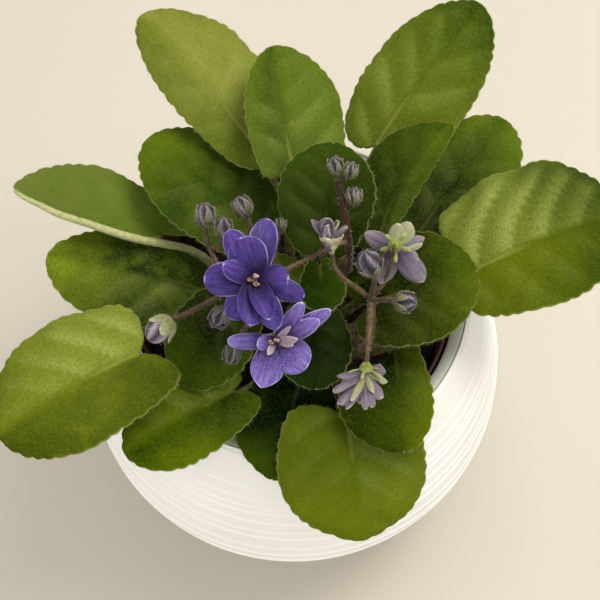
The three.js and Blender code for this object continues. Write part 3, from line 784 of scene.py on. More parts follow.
class MakeCrown(bpy.types.Operator):
    """Shape the short scarred stem that the leaves grow from"""

    bl_idname = "violet.make_crown"
    bl_label = "Crown"

    def execute(self, context):
        low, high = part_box("crown")
        middle = (low + high) / 2 / MM
        rng = np.random.default_rng(5)
        rows, around = 30, 49
        angle = np.linspace(0, 2 * math.pi, around)[None]
        height = np.linspace(low.z / MM, high.z / MM, rows)[:, None]
        radius = (high.x - low.x) / MM / 2 - 0.5
        share = np.linspace(0, 1, rows)[:, None]
        lumps = np.zeros((rows, around))
        for turns in (5, 8, 11):
            lumps += np.sin(turns * angle + share * rng.uniform(4, 12) + rng.uniform(0, 6.3))
        out = radius * (1 - 0.12 * share**4) + 0.18 * lumps - 0.5
        out = out * np.where((share == 0) | (share == 1), 0, 1)
        points = np.stack(
            [middle.x + out * np.cos(angle), middle.y + out * np.sin(angle), height + 0 * angle], 2
        )
        points[:, -1] = points[:, 0]
        material = plant_stalk("Crown flesh, scarred", "#77793f", "#3f2f1b", 0.7)
        crown = close_outward(add_sheet("crown_stem", points, material))
        finish_piece(crown, "crown", "crown")
        return {"FINISHED"}


# ------------------------------------------------------------------ leaves

# Each leaf: its colour in painted light and in painted shade in its hollows; how much painted
# light it has at its left margin, left and right of its midrib and at its right margin, as the
# light falls on its folded halves; what its base, middle and tip add to that, with painted shadows
# of the leaves above; and how pale its down and side veins look on its left and on its right half,
# partly as painted sheen.
LEAVES = {
    "back_left": ("#7e823a", "#475502", (0.45, 0.35, 0.85, 0.6), (-0.35, 0.05, -0.1), (0.25, 0.3)),
    "back_centre": ("#566718", "#1c3000", (0.7, 0.2, 0.7, 0.75), (0.0, 0.0, 0.05), (0.3, 0.3)),
    "back_right": ("#647215", "#1d3100", (0.55, 0.45, 0.5, 0.45), (0.2, 0.1, -0.4), (0.4, 0.3)),
    "upper_right_inner": ("#495d0a", "#081a00", (0.2, 0.3, 0.45, 0.6), (-0.32, -0.12, 0.35), (0.1, 0.15)),
    "upper_right_outer": ("#526412", "#031300", (0.7, 0.25, 0.3, 0.6), (-0.52, -0.17, 0.45), (0.2, 0.15)),
    "right": ("#5f6904", "#142a00", (0.3, 0.55, 0.6, 0.4), (0.27, 0.02, -0.43), (0.9, 0.12)),
    "right_inner": ("#4a5a05", "#040d00", (0.25, 0.25, 0.4, 0.6), (-0.4, -0.2, 0.39), (0.0, 0.08)),
    "front_right_inner": ("#525f01", "#081b00", (0.9, 0.5, 0.3, 0.15), (-0.42, -0.07, 0.05), (0.1, 0.0)),
    "front_right": ("#646e0d", "#364400", (0.6, 0.4, 0.5, 0.6), (-0.3, 0.0, 0.3), (0.35, 0.12)),
    # The front leaf lies in a painted shadow of the leaves above, all but its tip.
    "front": ("#344701", "#011000", (0.1, 0.15, 0.15, 0.2), (-0.2, -0.25, 0.91), (0.0, 0.0)),
    "front_left": ("#6a7d02", "#122700", (0.5, 0.25, 0.65, 0.55), (-0.3, 0.15, -0.15), (0.08, 0.5)),
    "left_low": ("#747d18", "#293900", (0.25, 0.35, 0.85, 0.6), (0.0, 0.0, -0.1), (0.08, 0.85)),
    "left": ("#697916", "#081f00", (0.3, 0.6, 0.1, 0.55), (-0.5, -0.25, 0.44), (0.3, 0.1)),
    "left_up": ("#5e662e", "#435c03", (0.6, 0.6, 0.6, 0.75), (-0.3, -0.05, 0.3), (0.15, 0.15)),
    "left_back_inner": ("#56660c", "#142d00", (0.35, 0.4, 0.5, 0.35), (-0.42, -0.27, 0.45), (0.2, 0.12)),
    "back_inner": ("#364907", "#071700", (0.5, 0.45, 0.35, 0.35), (-0.23, -0.08, 0.22), (0.12, 0.05)),
    "centre_small": ("#375001", "#041000", (0.6, 0.45, 0.3, 0.25), (0.0, -0.1, 0.06), (0.0, 0.0)),
    "centre_front": ("#213804", "#020900", (0.5, 0.3, 0.3, 0.5), (0.12, -0.18, 0.07), (0.1, 0.05)),
    "left_inner": ("#465b05", "#020800", (0.5, 0.25, 0.25, 0.45), (-0.5, -0.25, 0.32), (0.12, 0.05)),
    "centre_left": ("#5a6d14", "#2c3a06", (0.5, 0.5, 0.5, 0.5), (0.0, 0.0, 0.0), (0.0, 0.0)),
}
# How far behind its stalk the lobes of a leaf's heart-shaped base reach, left and right, in
# millimetres, where that isn't 4
LOBES = {
    "back_left": (1.0, 3.0),
    "back_centre": (-2.0, 3.0),
    "upper_right_inner": (3.0, 1.0),
    "right": (6.0, 8.0),
    "right_inner": (6.0, 6.0),
    "front_right": (4.0, 5.0),
    "front_right_inner": (10.0, -5.0),
    "front_left": (7.0, 6.5),
    "left_low": (7.0, 5.0),
    "left_up": (-1.0, 9.0),
    "left_back_inner": (9.0, 4.0),
}
# Leaves in the sun, and below them the leaves in shade, whose colours in the table carry painted shade.
SUNLIT_LEAVES = ("back_left", "right", "left_low")
PALE_RIBBED = (*SUNLIT_LEAVES, "back_centre", "back_right", "front_right")
SHADED_LEAVES = (
    "upper_right_inner", "right_inner", "front", "back_inner", "centre_front", "left_inner"
)
EDGE_ON_LEAF = "upper_right_inner"
HANGING_LEAF = "left_up"
LEAF_ROWS = 150
LEAF_COLUMNS = 29
LEAF_MIDDLE = LEAF_COLUMNS // 2
MARGINS = ((0, -1), (LEAF_COLUMNS - 1, 1))  # the columns of a blade's margins, and their sides
SIDE_VEINS = 4.4  # along each half of a blade
BLADE_HAIRS = 0.9  # on a square millimetre
MARGIN_HAIRS = 2.2  # on a millimetre
STALK_HAIRS = 5  # on a millimetre of a leaf's, flower's or bud's stalk


class LeafLooks(bpy.types.PropertyGroup):
    thickness: bpy.props.FloatProperty(
        name="Thickness",
        description="Thickness of a blade in its middle",
        default=0.00095,
        unit="LENGTH",
    )
    scallop: bpy.props.FloatProperty(
        name="Scallop depth",
        description="Depth of the rounded teeth of the margin",
        default=0.0005,
        unit="LENGTH",
    )
    scallop_width: bpy.props.FloatProperty(
        name="Scallop width",
        description="Length of one rounded tooth along the margin",
        default=0.0042,
        unit="LENGTH",
    )
    quilting: bpy.props.FloatProperty(
        name="Quilting",
        description="How far the blade swells between its veins",
        default=0.0004,
        unit="LENGTH",
    )
    hair_length: bpy.props.FloatProperty(
        name="Hair length",
        description="Length of the longest hairs",
        default=0.0013,
        unit="LENGTH",
    )
    # This colour is also that of the painted sheen over the side veins and of the painted highlight along
    # the margins.
    vein_and_sheen_colour: bpy.props.FloatVectorProperty(
        name="Vein colour",
        description="Colour of the veins and the lying hairs of the palest leaves",
        subtype="COLOR",
        size=4,
        default=colour("#98a254"),
    )


def fine_blade(table, looks, rng, lobes):
    """The CAD blade drawn finely: points, normals, places across and along it, its length, marks
    and where its columns lie. Its base gets round lobes, its margin rounded teeth, its veins
    sink and it swells between them."""
    tip_steer = 0.35 * table[-2:-1, ::-1] + 0.65 * (2 * table[-1:] - table[-2:-1])
    steered = np.concatenate([table[1:2, ::-1], table, tip_steer])
    size = np.linalg.norm(table[-1, 2] - table[0, 2])
    guide_row = 10 * np.linspace(0, 1, LEAF_ROWS)
    rows = through(steered, guide_row)
    across = np.sin(np.linspace(-1, 1, LEAF_COLUMNS) * math.pi / 2) * 0.55
    across += 0.45 * np.linspace(-1, 1, LEAF_COLUMNS)
    columns = with_ends(rows.transpose(1, 0, 2))
    points = through(columns, 2 + 2 * across).transpose(1, 0, 2)

    forward = unit(table[-1, 2] - table[0, 2])
    right = unit(table[5, 4] - table[5, 0] - forward * np.dot(table[5, 4] - table[5, 0], forward))
    round_lobes(points, table, guide_row, across, (forward, right), lobes)
    along = np.gradient(points, axis=0)
    sideways = np.gradient(points, axis=1)
    normals = unit_rows(np.cross(sideways, along))
    flat_normal = unit(np.cross(right, forward))
    steady = fade(guide_row, 0.6, 2.5)[:, None, None]
    normals = unit_rows(normals * steady + flat_normal * (1 - steady))
    normals[-1] = normals[-3]

    x = (points - table[0, 2]) @ right
    y = (points - table[0, 2]) @ forward
    x = x - np.interp(y, y[:, LEAF_MIDDLE], x[:, LEAF_MIDDLE])
    half = np.linalg.norm(points - points[:, LEAF_MIDDLE : LEAF_MIDDLE + 1], axis=2)
    left_side = np.arange(LEAF_COLUMNS) < LEAF_MIDDLE
    from_margin = np.where(left_side, half[:, :1] - half, half[:, -1:] - half)
    ends = np.linalg.norm(points - points[-1, 0], axis=2)

    # Side veins leave the midrib further forward towards the tip, where q is a whole number
    step = size / SIDE_VEINS + 0.12 * np.abs(x)
    q = (y - 0.004 * x * x - 0.55 * np.abs(x)) / step
    q = q + 0.1 * np.sin(x * 0.23 + rng.uniform(0, 6)) + np.where(x > 0, 0.35, 0)
    relief = blade_relief((x, y, size), (q, step), from_margin, looks, rng)
    points = add_teeth(points + normals * relief[..., None], normals, across, looks, rng)

    phase = q - np.floor(q)
    band = fade(phase, 0.3, 0.9) * (1 - fade(phase, 0.94, 1.0))
    marks = {
        "band": band * fade(from_margin, 0, 7) * fade(np.abs(x), -2, 4),
        "rib": np.exp(-((x / 0.9) ** 2)) * (1 - fade(y / size, 0.1, 0.6)),
        "margin": 1 - fade(np.minimum(from_margin, ends), 0.05, 0.6),
    }
    return points, normals, x, y, size, marks, across


def round_lobes(points, table, guide_row, across, ways, lobes):
    """Moves the points into round lobes behind the stalk: each side's margin follows a curve from
    the stalk's end to the third row of the guide, and takes the blade beside it along."""
    forward, right = ways
    near = guide_row < 3
    part = (guide_row[near] / 3)[:, None]
    for (column, way), lobe in zip(MARGINS, lobes):
        outer = [table[row, 2 + 2 * way] - table[0, 2] for row in (3, 4)]
        (wide, high), (next_x, next_y) = [(place @ right, place @ forward) for place in outer]
        reach = 0.42 * math.hypot(wide, high) / math.hypot(next_x - wide, next_y - high)
        bend_x, bend_y = wide - reach * (next_x - wide), high - reach * (next_y - high)
        low = (-lobe - 0.29 * bend_y - 0.06 * high) / 0.43
        steps = [(0, 0), (0.4 * wide, low), (bend_x, bend_y), (wide, high)]
        flat = sum(
            np.outer(math.comb(3, k) * (1 - part) ** (3 - k) * part**k, steps[k]) for k in range(4)
        )
        shift = flat[:, :1] * right + flat[:, 1:] * forward
        offset = points[near, column] - points[0, 0]
        shift = shift - np.outer(offset @ right, right) - np.outer(offset @ forward, forward)
        pull = fade(way * across, 0.0, 1.0)
        points[near] = points[near] + shift[:, None] * pull[None, :, None]


def blade_relief(places, veins, from_margin, looks, rng):
    """How far a blade stands out of its guide: it swells between its side veins, sinks along
    them and along its midrib, is uneven all over and ripples towards its margins."""
    x, y, size = places
    q, step = veins
    gap = np.abs(q - np.round(q)) * step * 0.8
    inner = fade(from_margin, 0.5, 6)
    side_vein = np.exp(-((gap / 0.9) ** 2)) * fade(np.abs(x), 0.2, 2) * inner
    midrib = np.exp(-((x / 1.1) ** 2)) * (1 - fade(y / size, 0.75, 1.0))
    swell = np.sin(math.pi * q) ** 2 * fade(np.abs(x), 0.5, 6) * fade(from_margin, 0, 6)
    relief = looks.quilting / MM * swell - 0.26 * midrib - 0.06 * side_vein
    for _ in range(7):
        way = rng.normal(size=2) * rng.uniform(0.08, 0.5)
        wave = np.sin(x * way[0] + y * way[1] + rng.uniform(0, 6.3))
        relief = relief + 0.08 * wave * fade(np.abs(x), 0, 6)
    small = np.sin(x * 1.9 + 1.3 * np.sin(y * 0.7)) * np.sin(y * 1.7 + 1.1 * np.sin(x * 0.9))
    ripple = np.sin(y * 0.33 + rng.uniform(0, 6.3)) * (np.abs(x) / 20) ** 2
    return relief + 0.04 * small + 0.6 * ripple


def add_teeth(points, normals, across, looks, rng):
    """The points with rounded teeth along both margins."""
    for column, way in MARGINS:
        edge = points[:, column]
        run = run_along(edge)
        teeth = max(round(run[-1] / (looks.scallop_width / MM)), 8)
        phase = run / run[-1] * teeth + 0.18 * np.sin(run * 0.31 + rng.uniform(0, 6))
        bulge = looks.scallop / MM * (np.abs(np.sin(math.pi * phase)) - 0.62)
        bulge *= 1 - 0.35 * np.sin(run * 0.17 + way)
        bulge *= fade(run, 0.5, 4)
        tangent = unit_rows(np.gradient(edge, axis=0))
        outward = unit_rows(np.cross(tangent, normals[:, column]) * way)
        share = fade(way * across, 0.62, 1.0)
        points = points + outward[:, None] * (bulge[:, None] * share[None])[..., None]
    return points


def blade_hairs(points, normals, x, looks, rng):
    """Roots, directions and lengths of a blade's upper hairs and of those along its margins."""
    rows, columns = points.shape[:2]
    across = unit_rows(np.gradient(points, axis=1))
    along = unit_rows(np.gradient(points, axis=0))
    cell = np.linalg.norm(
        np.cross(np.diff(points, axis=0)[:, :-1], np.diff(points, axis=1)[:-1]), axis=2
    )
    share = cell.reshape(-1) / cell.sum()
    count = int(BLADE_HAIRS * cell.sum())
    picks = rng.choice(len(share), count, p=share)
    r, c = picks // (columns - 1), picks % (columns - 1)
    part = rng.uniform(0, 1, (count, 2, 1))
    near = points[r, c] * (1 - part[:, 0]) + points[r + 1, c] * part[:, 0]
    far = points[r, c + 1] * (1 - part[:, 0]) + points[r + 1, c + 1] * part[:, 0]
    roots = near * (1 - part[:, 1]) + far * part[:, 1]
    normal = normals[r, c]
    lift = 0.5 * looks.thickness / MM
    side = np.sign(x[r, c])[:, None]
    lean = 0.8 * side * across[r, c] + 0.45 * along[r, c]
    ways = normal * rng.uniform(0.25, 0.8, (count, 1)) + lean * rng.uniform(0.3, 1.0, (count, 1))
    ways = ways + rng.normal(0, 0.22, (count, 3))
    lengths = rng.uniform(0.45, 1.0, count) * looks.hair_length / MM * 0.85
    found = [(roots + normal * (lift - 0.08), ways, lengths)]
    for column, way in MARGINS:
        edge = points[:, column]
        run = run_along(edge)
        count = int(MARGIN_HAIRS * run[-1])
        spots = np.sort(rng.uniform(0, run[-1], count))
        roots = at_spots(spots, run, edge)
        row = np.clip(np.searchsorted(run, spots), 1, rows - 2)
        tangent = unit_rows(np.gradient(edge, axis=0))[row]
        outward = unit_rows(np.cross(tangent, normals[row, column]) * way)
        ways = outward + 0.35 * tangent + rng.normal(0, 0.3, (count, 3))
        lengths = rng.uniform(0.4, 1.0, count) * looks.hair_length / MM
        found.append((roots - outward * 0.08, ways, lengths))
    return found


def stalk_line(line, points, normals, hanging):
    """The line and radii of a leaf's stalk. It runs on under the midrib and thins out towards the
    tip. That of the leaf that hangs on its side runs along its lower margin instead."""
    if hanging:
        rows = [38, 56, 74, 92, 106, 120, 132, 142]
        rib = points[rows, 2] - normals[rows, 2] * 0.55
        rib[0] -= 0.4 * normals[rows[0], 2]
        rib += 0.35 * unit_rows(points[rows, 0] - points[rows, 4])
        bases = line[2:5]
        thickness = [1.4, 1.25, 1.1, 0.15]
    else:
        rows = [14, 24, 36, 50, 62, 74, 86, 98]
        depths = np.array([1.7, 1.4, 1.15, 1, 1, 1, 1, 1])
        rib = points[rows, LEAF_MIDDLE] - normals[rows, 2] * depths[:, None]
        low = line[3:4] - normals[0, LEAF_MIDDLE] * 0.7
        sunk = line[4:5] - normals[10, LEAF_MIDDLE] * 2.3
        bases = np.concatenate([line[1:3], low, sunk])
        thickness = [1.6, 1.3, 0.95, 0.28]
    path = with_ends(np.concatenate([bases, rib]))
    steps = np.linspace(0, len(path) - 3, 46)
    return through(path, steps), np.interp(steps, [0, 3, 6, 11], thickness)


class MakeLeaves(bpy.types.Operator):
    """Draw every leaf finely over its CAD blade and stalk, with its hairs"""

    bl_idname = "violet.make_leaves"
    bl_label = "Leaves"

    def execute(self, context):
        looks = context.scene.violet_leaves
        stalk_skin = plant_stalk("Leaf stalk, hairy", "#6f6e30", "#3d3216")
        pale_skin = plant_stalk("Leaf stalk, pale, hairy", "#b3ab7e", "#8c9a5e")
        hairs, fringe = [], []
        for index, (name, (sun, deep, light_across, light_along, down_and_sheen)) in enumerate(LEAVES.items()):
            rng = np.random.default_rng(100 + index)
            line, table = blade_guide(f"leaf_{name}")
            if name == EDGE_ON_LEAF:
                table = straighten(table)
            lobes = LOBES.get(name, (4.0, 4.0))
            points, normals, x, y, size, marks, across = fine_blade(table, looks, rng, lobes)
            # Painted light and shade across the blade, as light falls on its folded halves, and along it,
            # with painted shadows of the leaves above.
            light_and_shade = np.interp(across, (-0.85, -0.2, 0.2, 0.85), light_across)[None]
            marks["light_and_shade"] = light_and_shade + np.interp(y / size, (0.15, 0.5, 0.9), light_along)
            # Pale down over the side veins, partly its own colour and partly painted sheen, stronger on
            # one half and near the base.
            down = np.where(across < 0, *down_and_sheen)[None] * fade(np.abs(x), -1, 2)
            down = down * np.interp(y / size, (0.0, 0.4, 1.0), (1.0, 0.8, 0.35))
            near_base = 1.15 - 0.65 * fade(y / size, 0.25, 0.95)
            marks["pale"] = down * near_base * (0.35 + 0.65 * marks["band"])
            # The margin's painted highlight, full on the edge-on leaf whose straight margin catches the
            # light.
            marks["margin"] = marks["margin"] * (1.0 if name == EDGE_ON_LEAF else 0.75)
            upper = leaf_upper(name, sun, deep, looks.vein_and_sheen_colour[:])
            blade = add_sheet(f"blade_{name}", points, upper, marks, np.stack([x, y], 2))
            blade.data.materials.append(leaf_under(name))
            thicken(blade, looks.thickness / MM, 0.4, 1)
            hanging = name == HANGING_LEAF
            run, radii = stalk_line(line, points, normals, hanging)
            stalk = add_tube(f"stalk_{name}", run, radii, pale_skin if hanging else stalk_skin)
            leaf = join([blade, stalk], f"leaf_{name}_skin")
            slot = "leaf_light" if name in SUNLIT_LEAVES else "leaf"
            slot = "leaf_dark" if name in SHADED_LEAVES else slot
            finish_piece(leaf, slot, f"leaf_{name}")
            found = blade_hairs(points, normals, x, looks, rng)
            hairs.append(found[0])
            fringe += found[1:]
            longest = looks.hair_length / MM
            fringe.append(tube_hairs(run[:26], radii[:26], rng, STALK_HAIRS, longest))
        fuzz = plant_hair("Leaf hairs", "#5d6c22", "#7c8942")
        add_hairs("leaf_hairs", hairs, 0.024, fuzz, "leaf_light")
        fuzz = plant_hair("Leaf margin hairs", "#8c9562", "#b4ba8c")
        add_hairs("leaf_fringe", fringe, 0.03, fuzz, "leaf_light")
        return {"FINISHED"}


def straighten(table):
    """A blade's guide with its right half turned nearly edge on behind a straight margin."""
    table = table.copy()
    part = np.linspace(0, 1, len(table))[:, None]
    forward = unit(table[-1, 2] - table[0, 2])
    left = unit((table[5, 0] - table[5, 4]) * [1, 1, 0])
    left = unit(left - forward * (left @ forward))
    margin = table[0, 2] * (1 - part) + table[-1, 2] * part - 3.5 * (1 - part) * left
    bell = np.sin(math.pi * part) ** 0.7
    for column, out in ((4, 0.0), (3, 2.4), (2, 5.0), (1, 8.0)):
        goal = margin + out * bell * left
        shift = ((goal - table[:, column]) @ left)[:, None] * left
        table[:, column] += shift * [1, 1, 0] * (1.0 if column > 1 else 0.35)
    table[0] = table[0, 2]
    table[-1] = table[-1, 4]
    return table


def tube_hairs(line, radii, rng, per_mm, longest):
    """Hairs that stand out of a stalk all round."""
    run = run_along(line)
    count = int(per_mm * run[-1])
    spots = rng.uniform(0, run[-1], count)
    roots = at_spots(spots, run, line)
    radius = np.interp(spots, run, radii)[:, None]
    tangent = unit_rows(at_spots(spots, run, np.gradient(line, axis=0)))
    out = rng.normal(size=(count, 3))
    out = unit_rows(out - tangent * np.sum(out * tangent, axis=1, keepdims=True))
    ways = out + rng.normal(0, 0.2, (count, 3))
    return roots + out * (radius - 0.05), ways, rng.uniform(0.5, 1, count) * longest


# ------------------------------------------------------------------ flowers

# Each flower's petals: the angle each points at, in degrees clockwise from the flower's top; how
# far it leans out of the way the flower faces; its length and half width in millimetres; the
# turn of its margins in degrees; and how far its tip falls back in millimetres. `faces` turns a
# flower, `shift` moves its head and `bend` the upper part of its stalk, `stalk` is the stalk's
# radius, and petaloids are stamens that have turned into small petals.
FLOWERS = {
    "1": {
        "skin": "violet",
        "petals": [
            (19, 88, 17.1, 4.0, -15, 1.0), (-20, 88, 15.3, 3.7, 10, 1.0), (-81, 84, 13.5, 4.7, 15, 1.0),
            (-140, 90, 12.1, 3.9, 10, 1.0), (163, 80, 14.6, 3.6, -20, 0.5),
            (114, 88, 13.9, 3.1, 20, 2.5), (-10, 58, 13.1, 5.4, 15, 0.5), (-60, 55, 10.9, 2.8, 20, 0.5),
            (99, 58, 10.1, 4.5, 35, 0.5), (-168, 62, 14.1, 4.9, -45, 0.5),
            (168, 55, 14.4, 3.7, -60, 0.0),
        ],
    },
    "2": {
        "skin": "lilac",
        "faces": (0.05, -0.62, 0.78),
        "shift": (-1.5, 0, 0),
        "petals": [
            (-83, 72, 13.4, 2.4, 20, 0.5), (-158, 72, 13.4, 4.6, 5, 0.5), (133, 68, 11.3, 5.0, 10, 0.5),
            (59, 66, 18.9, 2.4, 25, 0.5), (61, 58, 15.6, 2.5, 10, 0.5), (34, 58, 16.1, 2.3, 15, 0.5),
            (-84, 45, 7.2, 2.2, 20, 0.0),
        ],
        "petaloids": [
            (69, 34, 11.0, 1.3, 25, 0.0), (-141, 40, 5.6, 1.0, 20, 0.0), (37, 42, 9.9, 0.8, 20, 0.0),
            (100, 50, 6.0, 1.0, 20, 0.0),
        ],
    },
    "3": {
        "skin": "pale",
        "shift": (-1, -3, 0),
        "bend": (-0.6, -1.8, 0),
        "stalk": 0.52,
        "petals": [
            (-122, 74, 12.1, 3.4, -35, 0.0), (170, 72, 10.7, 3.0, -35, 0.0),
            (-51, 66, 9.2, 2.2, -60, 0.0), (-96, 66, 7.4, 2.2, -60, 0.0), (79, 70, 10.2, 2.6, -35, 0.0),
        ],
        "cream": [
            (10, 76, 7.4, 2.6, -50, 0.0), (-12, 72, 8.9, 3.3, -55, 0.0), (-63, 66, 8.1, 1.4, -50, 0.0),
        ],
    },
    "4": {
        "skin": "pale",
        "shift": (0.1, 1.8, 1.7),
        "petals": [
            (-82, 95, 7.6, 2.4, -70, -2.0), (-58, 80, 10.7, 2.2, -50, -2.5),
            (-47, 64, 11.8, 3.6, -80, -2.5), (-32, 58, 12.0, 1.5, -50, -2.5),
            (4, 50, 10.4, 1.7, -60, -2.5), (22, 52, 9.9, 2.2, -80, -2.5), (55, 66, 7.9, 3.2, -90, -3.0),
            (-10, 44, 8.6, 2.4, -60, -2.0), (148, 100, 7.4, 3.6, -60, -1.0),
        ],
        "cream": [
            (-82, 84, 6.8, 1.8, -60, -2.0), (-23, 69, 10.4, 1.4, -80, -2.0),
            (26, 64, 6.6, 1.2, -70, -1.5), (92, 90, 6.0, 2.4, -70, -2.5),
        ],
    },
    "5": {
        "skin": "pale",
        "bend": (0.7, 1.5, 0.75),
        "petals": [
            (118, 56, 7.6, 2.2, -80, -2.5), (-143, 24, 6.9, 3.4, -80, -2.0),
            (170, 28, 6.4, 2.6, -70, -2.0), (-62, 62, 7.6, 2.6, -80, -2.0),
            (-60, 20, 5.4, 2.2, -70, -1.5), (60, 16, 5.0, 2.0, -70, -1.5),
        ],
        "cream": [
            (-97, 44, 6.6, 2.5, -60, -2.0), (-70, 28, 4.6, 2.0, -60, -1.5),
        ],
    },
}
THROAT_BEHIND = 2.7  # from the back of the throat's cup to its front, with its clearance
OPEN_FLOWERS = ("1", "2")  # those whose stamens show
HALF_OPEN = "5"  # the flower whose petals are still folded in its middle
SEPALS_EACH = 5


class FlowerLooks(bpy.types.PropertyGroup):
    petal_thickness: bpy.props.FloatProperty(
        name="Petal thickness",
        description="Thickness of a petal in its middle",
        default=0.0004,
        unit="LENGTH",
    )
    ruffle: bpy.props.FloatProperty(
        name="Ruffle",
        description="How far a petal's margin waves",
        default=0.0003,
        unit="LENGTH",
    )
    hair_length: bpy.props.FloatProperty(
        name="Stem hair length",
        description="Length of the longest hairs on the flower stems",
        default=0.001,
        unit="LENGTH",
    )


def petal_sheet(name, frame_of, petal_sizes, material, looks, rng, point):
    """One petal: round at its base and tip, cupped or drooping at its margins, with a waved
    edge. `frame_of` is the flower's centre, the way it faces, its top and its right, and a
    higher `point` makes the tip more pointed."""
    centre, axis, top, right = frame_of
    clock, lean, length, width, curl, back = petal_sizes
    clock, lean = math.radians(clock), math.radians(lean)
    outward = top * math.cos(clock) + right * math.sin(clock)
    forward = axis * math.cos(lean) + outward * math.sin(lean)
    normal = axis * math.sin(lean) - outward * math.cos(lean)
    side = np.cross(forward, normal)
    rows, columns = 30, 19
    t = eased(rows)
    s = np.linspace(-1, 1, columns)[None]
    widest = 0.6
    swell = np.where(
        t < widest,
        np.sqrt(np.clip(1 - ((widest - t) / widest) ** 2, 0, 1)),
        np.clip(1 - ((t - widest) / (1 - widest)) ** 2, 0, 1) ** point,
    )
    half = width * swell
    turn = math.radians(curl) if abs(curl) > 0.5 else 0.01
    over = np.sign(s) * half * np.sin(turn * np.abs(s)) / turn
    drop = half * (1 - np.cos(turn * np.abs(s))) / turn
    hump = 4 * t * (1 - t)
    wave = np.sin(t * rng.uniform(7, 11) + s * 2 + rng.uniform(0, 6.3)) * np.abs(s) ** 2.5 * t
    crease = -0.25 * np.exp(-((s * half / 0.7) ** 2)) * (1 - t)
    fold = 0.08 * np.sin(s * 9) * t * (1 - t) * 4
    lift = length * 0.06 * hump - drop - back * t**3 + looks.ruffle / MM * wave + crease + fold
    lift = lift - 0.5 * (1 - t) ** 4
    points = spread(centre, (forward, length * t), (side, over), (normal, lift))
    from_margin = np.minimum(half - np.abs(over), length * (1 - t) * 0.8 + 0 * s)
    uneven = 0.72 + 0.28 * np.sin(t * rng.uniform(5, 9) + s * rng.uniform(2, 4) + rng.uniform(0, 6))
    marks = {
        "margin": (1 - fade(from_margin, 0.02, 0.5)) * uneven,
        "reach": t + 0 * s,
    }
    uv = np.stack([over, length * t + 0 * s], 2)
    sheet = add_sheet(name, points, material, marks, uv)
    return thicken(sheet, looks.petal_thickness / MM, 0.45)


def flower_frame(centres, end, flower):
    """A flower's centre, the way it faces, its top and its right, from its stalk."""
    stalk_way = unit(centres[-1] - centres[-3])
    axis = unit(np.array(flower.get("faces", stalk_way), float))
    across = unit(np.cross(axis, [0, 0, 1]))
    top = np.cross(across, axis)
    centre = end + stalk_way * THROAT_BEHIND + flower.get("shift", (0, 0, 0))
    return centre, axis, top, np.cross(top, axis)


def sepal_ring(name, at, axis, sizes, material, rng):
    """Narrow pointed sepals round a calyx. Their sizes are their length, half width and lean."""
    reach, width, lean = sizes
    hook = ring_radius = 1.2
    across = unit(np.cross(axis, [0.1, 0.2, 1]))
    other = np.cross(axis, across)
    sheets = []
    for k in range(SEPALS_EACH):
        angle = 2 * math.pi * (k + rng.uniform(-0.12, 0.12)) / SEPALS_EACH
        out = across * math.cos(angle) + other * math.sin(angle)
        tilt = math.radians(lean + rng.uniform(-6, 6))
        forward = axis * math.cos(tilt) + out * math.sin(tilt)
        normal = -(axis * math.sin(tilt) - out * math.cos(tilt))
        side = np.cross(forward, normal)
        length = reach * rng.uniform(0.85, 1.1)
        t = np.linspace(0, 1, 13)[:, None]
        s = np.linspace(-1, 1, 7)[None]
        half = width * (0.55 + 0.9 * t) * np.sqrt(np.clip(1 - t**2.6, 0, 1))
        bend = hook * np.sin(t * math.pi * 0.5) ** 2 - hook * 1.1 * t**2
        lift = -0.35 * half * s**2 + bend
        parts = ((forward, length * t), (side, half * s), (normal, lift))
        points = spread(at + out * ring_radius, *parts)
        marks = {
            "margin": 1 - fade(half - np.abs(half * s), 0.02, 0.35),
            "reach": t + 0 * s,
        }
        sheet = add_sheet(f"{name}_sepal", points, material, marks)
        sheets.append(thicken(sheet, 0.32, 0.5))
    return sheets


# Each flower's sepals: length, half width and how far they lean out
SEPALS = {
    "1": (5.5, 0.9, 70),
    "2": (5.5, 0.9, 66),
    "3": (3.4, 0.6, 76),
    "4": (4.4, 0.5, 66),
    "5": (4.8, 2.1, 26),
}


def make_flower_stem(name, flower, centres, radii, skins, rng):
    """A flower's stalk with its calyx and sepals, in the skins of its stalk and its calyx."""
    stalk_skin, green = skins
    line = through(with_ends(centres[:5]), np.linspace(0, 4, 24))
    stalk = add_tube(f"stalk_{name}", line, np.full(24, flower.get("stalk", 0.62)), stalk_skin)
    cup_line = through(with_ends(centres[4:]), np.linspace(0, 3, 9))
    swell = (0.9, 0.55, 0.8, 0.95) if name == HALF_OPEN else (0.92, 0.92, 0.92, 0.92)
    cup_radii = np.interp(np.linspace(0, 3, 9), [0, 1, 2, 3], radii[4:8] * swell)
    calyx = add_tube(f"calyx_{name}", cup_line, cup_radii, green, 16)
    way = unit(centres[-1] - centres[-3])
    sepals = sepal_ring(f"calyx_{name}", centres[6], way, SEPALS[name], green, rng)
    whole = join([stalk, calyx, *sepals], f"flower_{name}_stem")
    finish_piece(whole, "flower_stalk", f"flower_{name}_stalk")


def make_stamens(name, place, pollen):
    """The pollen sacs of an open flower on their threads."""
    centre, axis, top, right = place
    sacs = []
    spots = ((-1.3, 0.2, 2.2), (0.3, 0.9, 3.0), (0.2, -1.3, 2.5))
    for way, rise, lift in spots if name == "1" else spots[:2]:
        middle = centre + right * way + top * rise + axis * lift
        sac = np.linspace(-0.5, 0.5, 7)[:, None] * (top + 0.4 * right) + middle
        swell = np.sqrt(np.clip(1 - np.linspace(-0.9, 0.9, 7) ** 2, 0, 1))
        sacs.append(add_tube(f"sac_{name}", sac, swell, pollen))
        thread = np.linspace(0, 1, 6)[:, None] * (middle - centre) + centre
        sacs.append(add_tube(f"thread_{name}", thread, np.full(6, 0.28), pollen, 8))
    anthers = join(sacs, f"flower_{name}_stamens")
    finish_piece(anthers, "anther", f"flower_{name}_anthers")


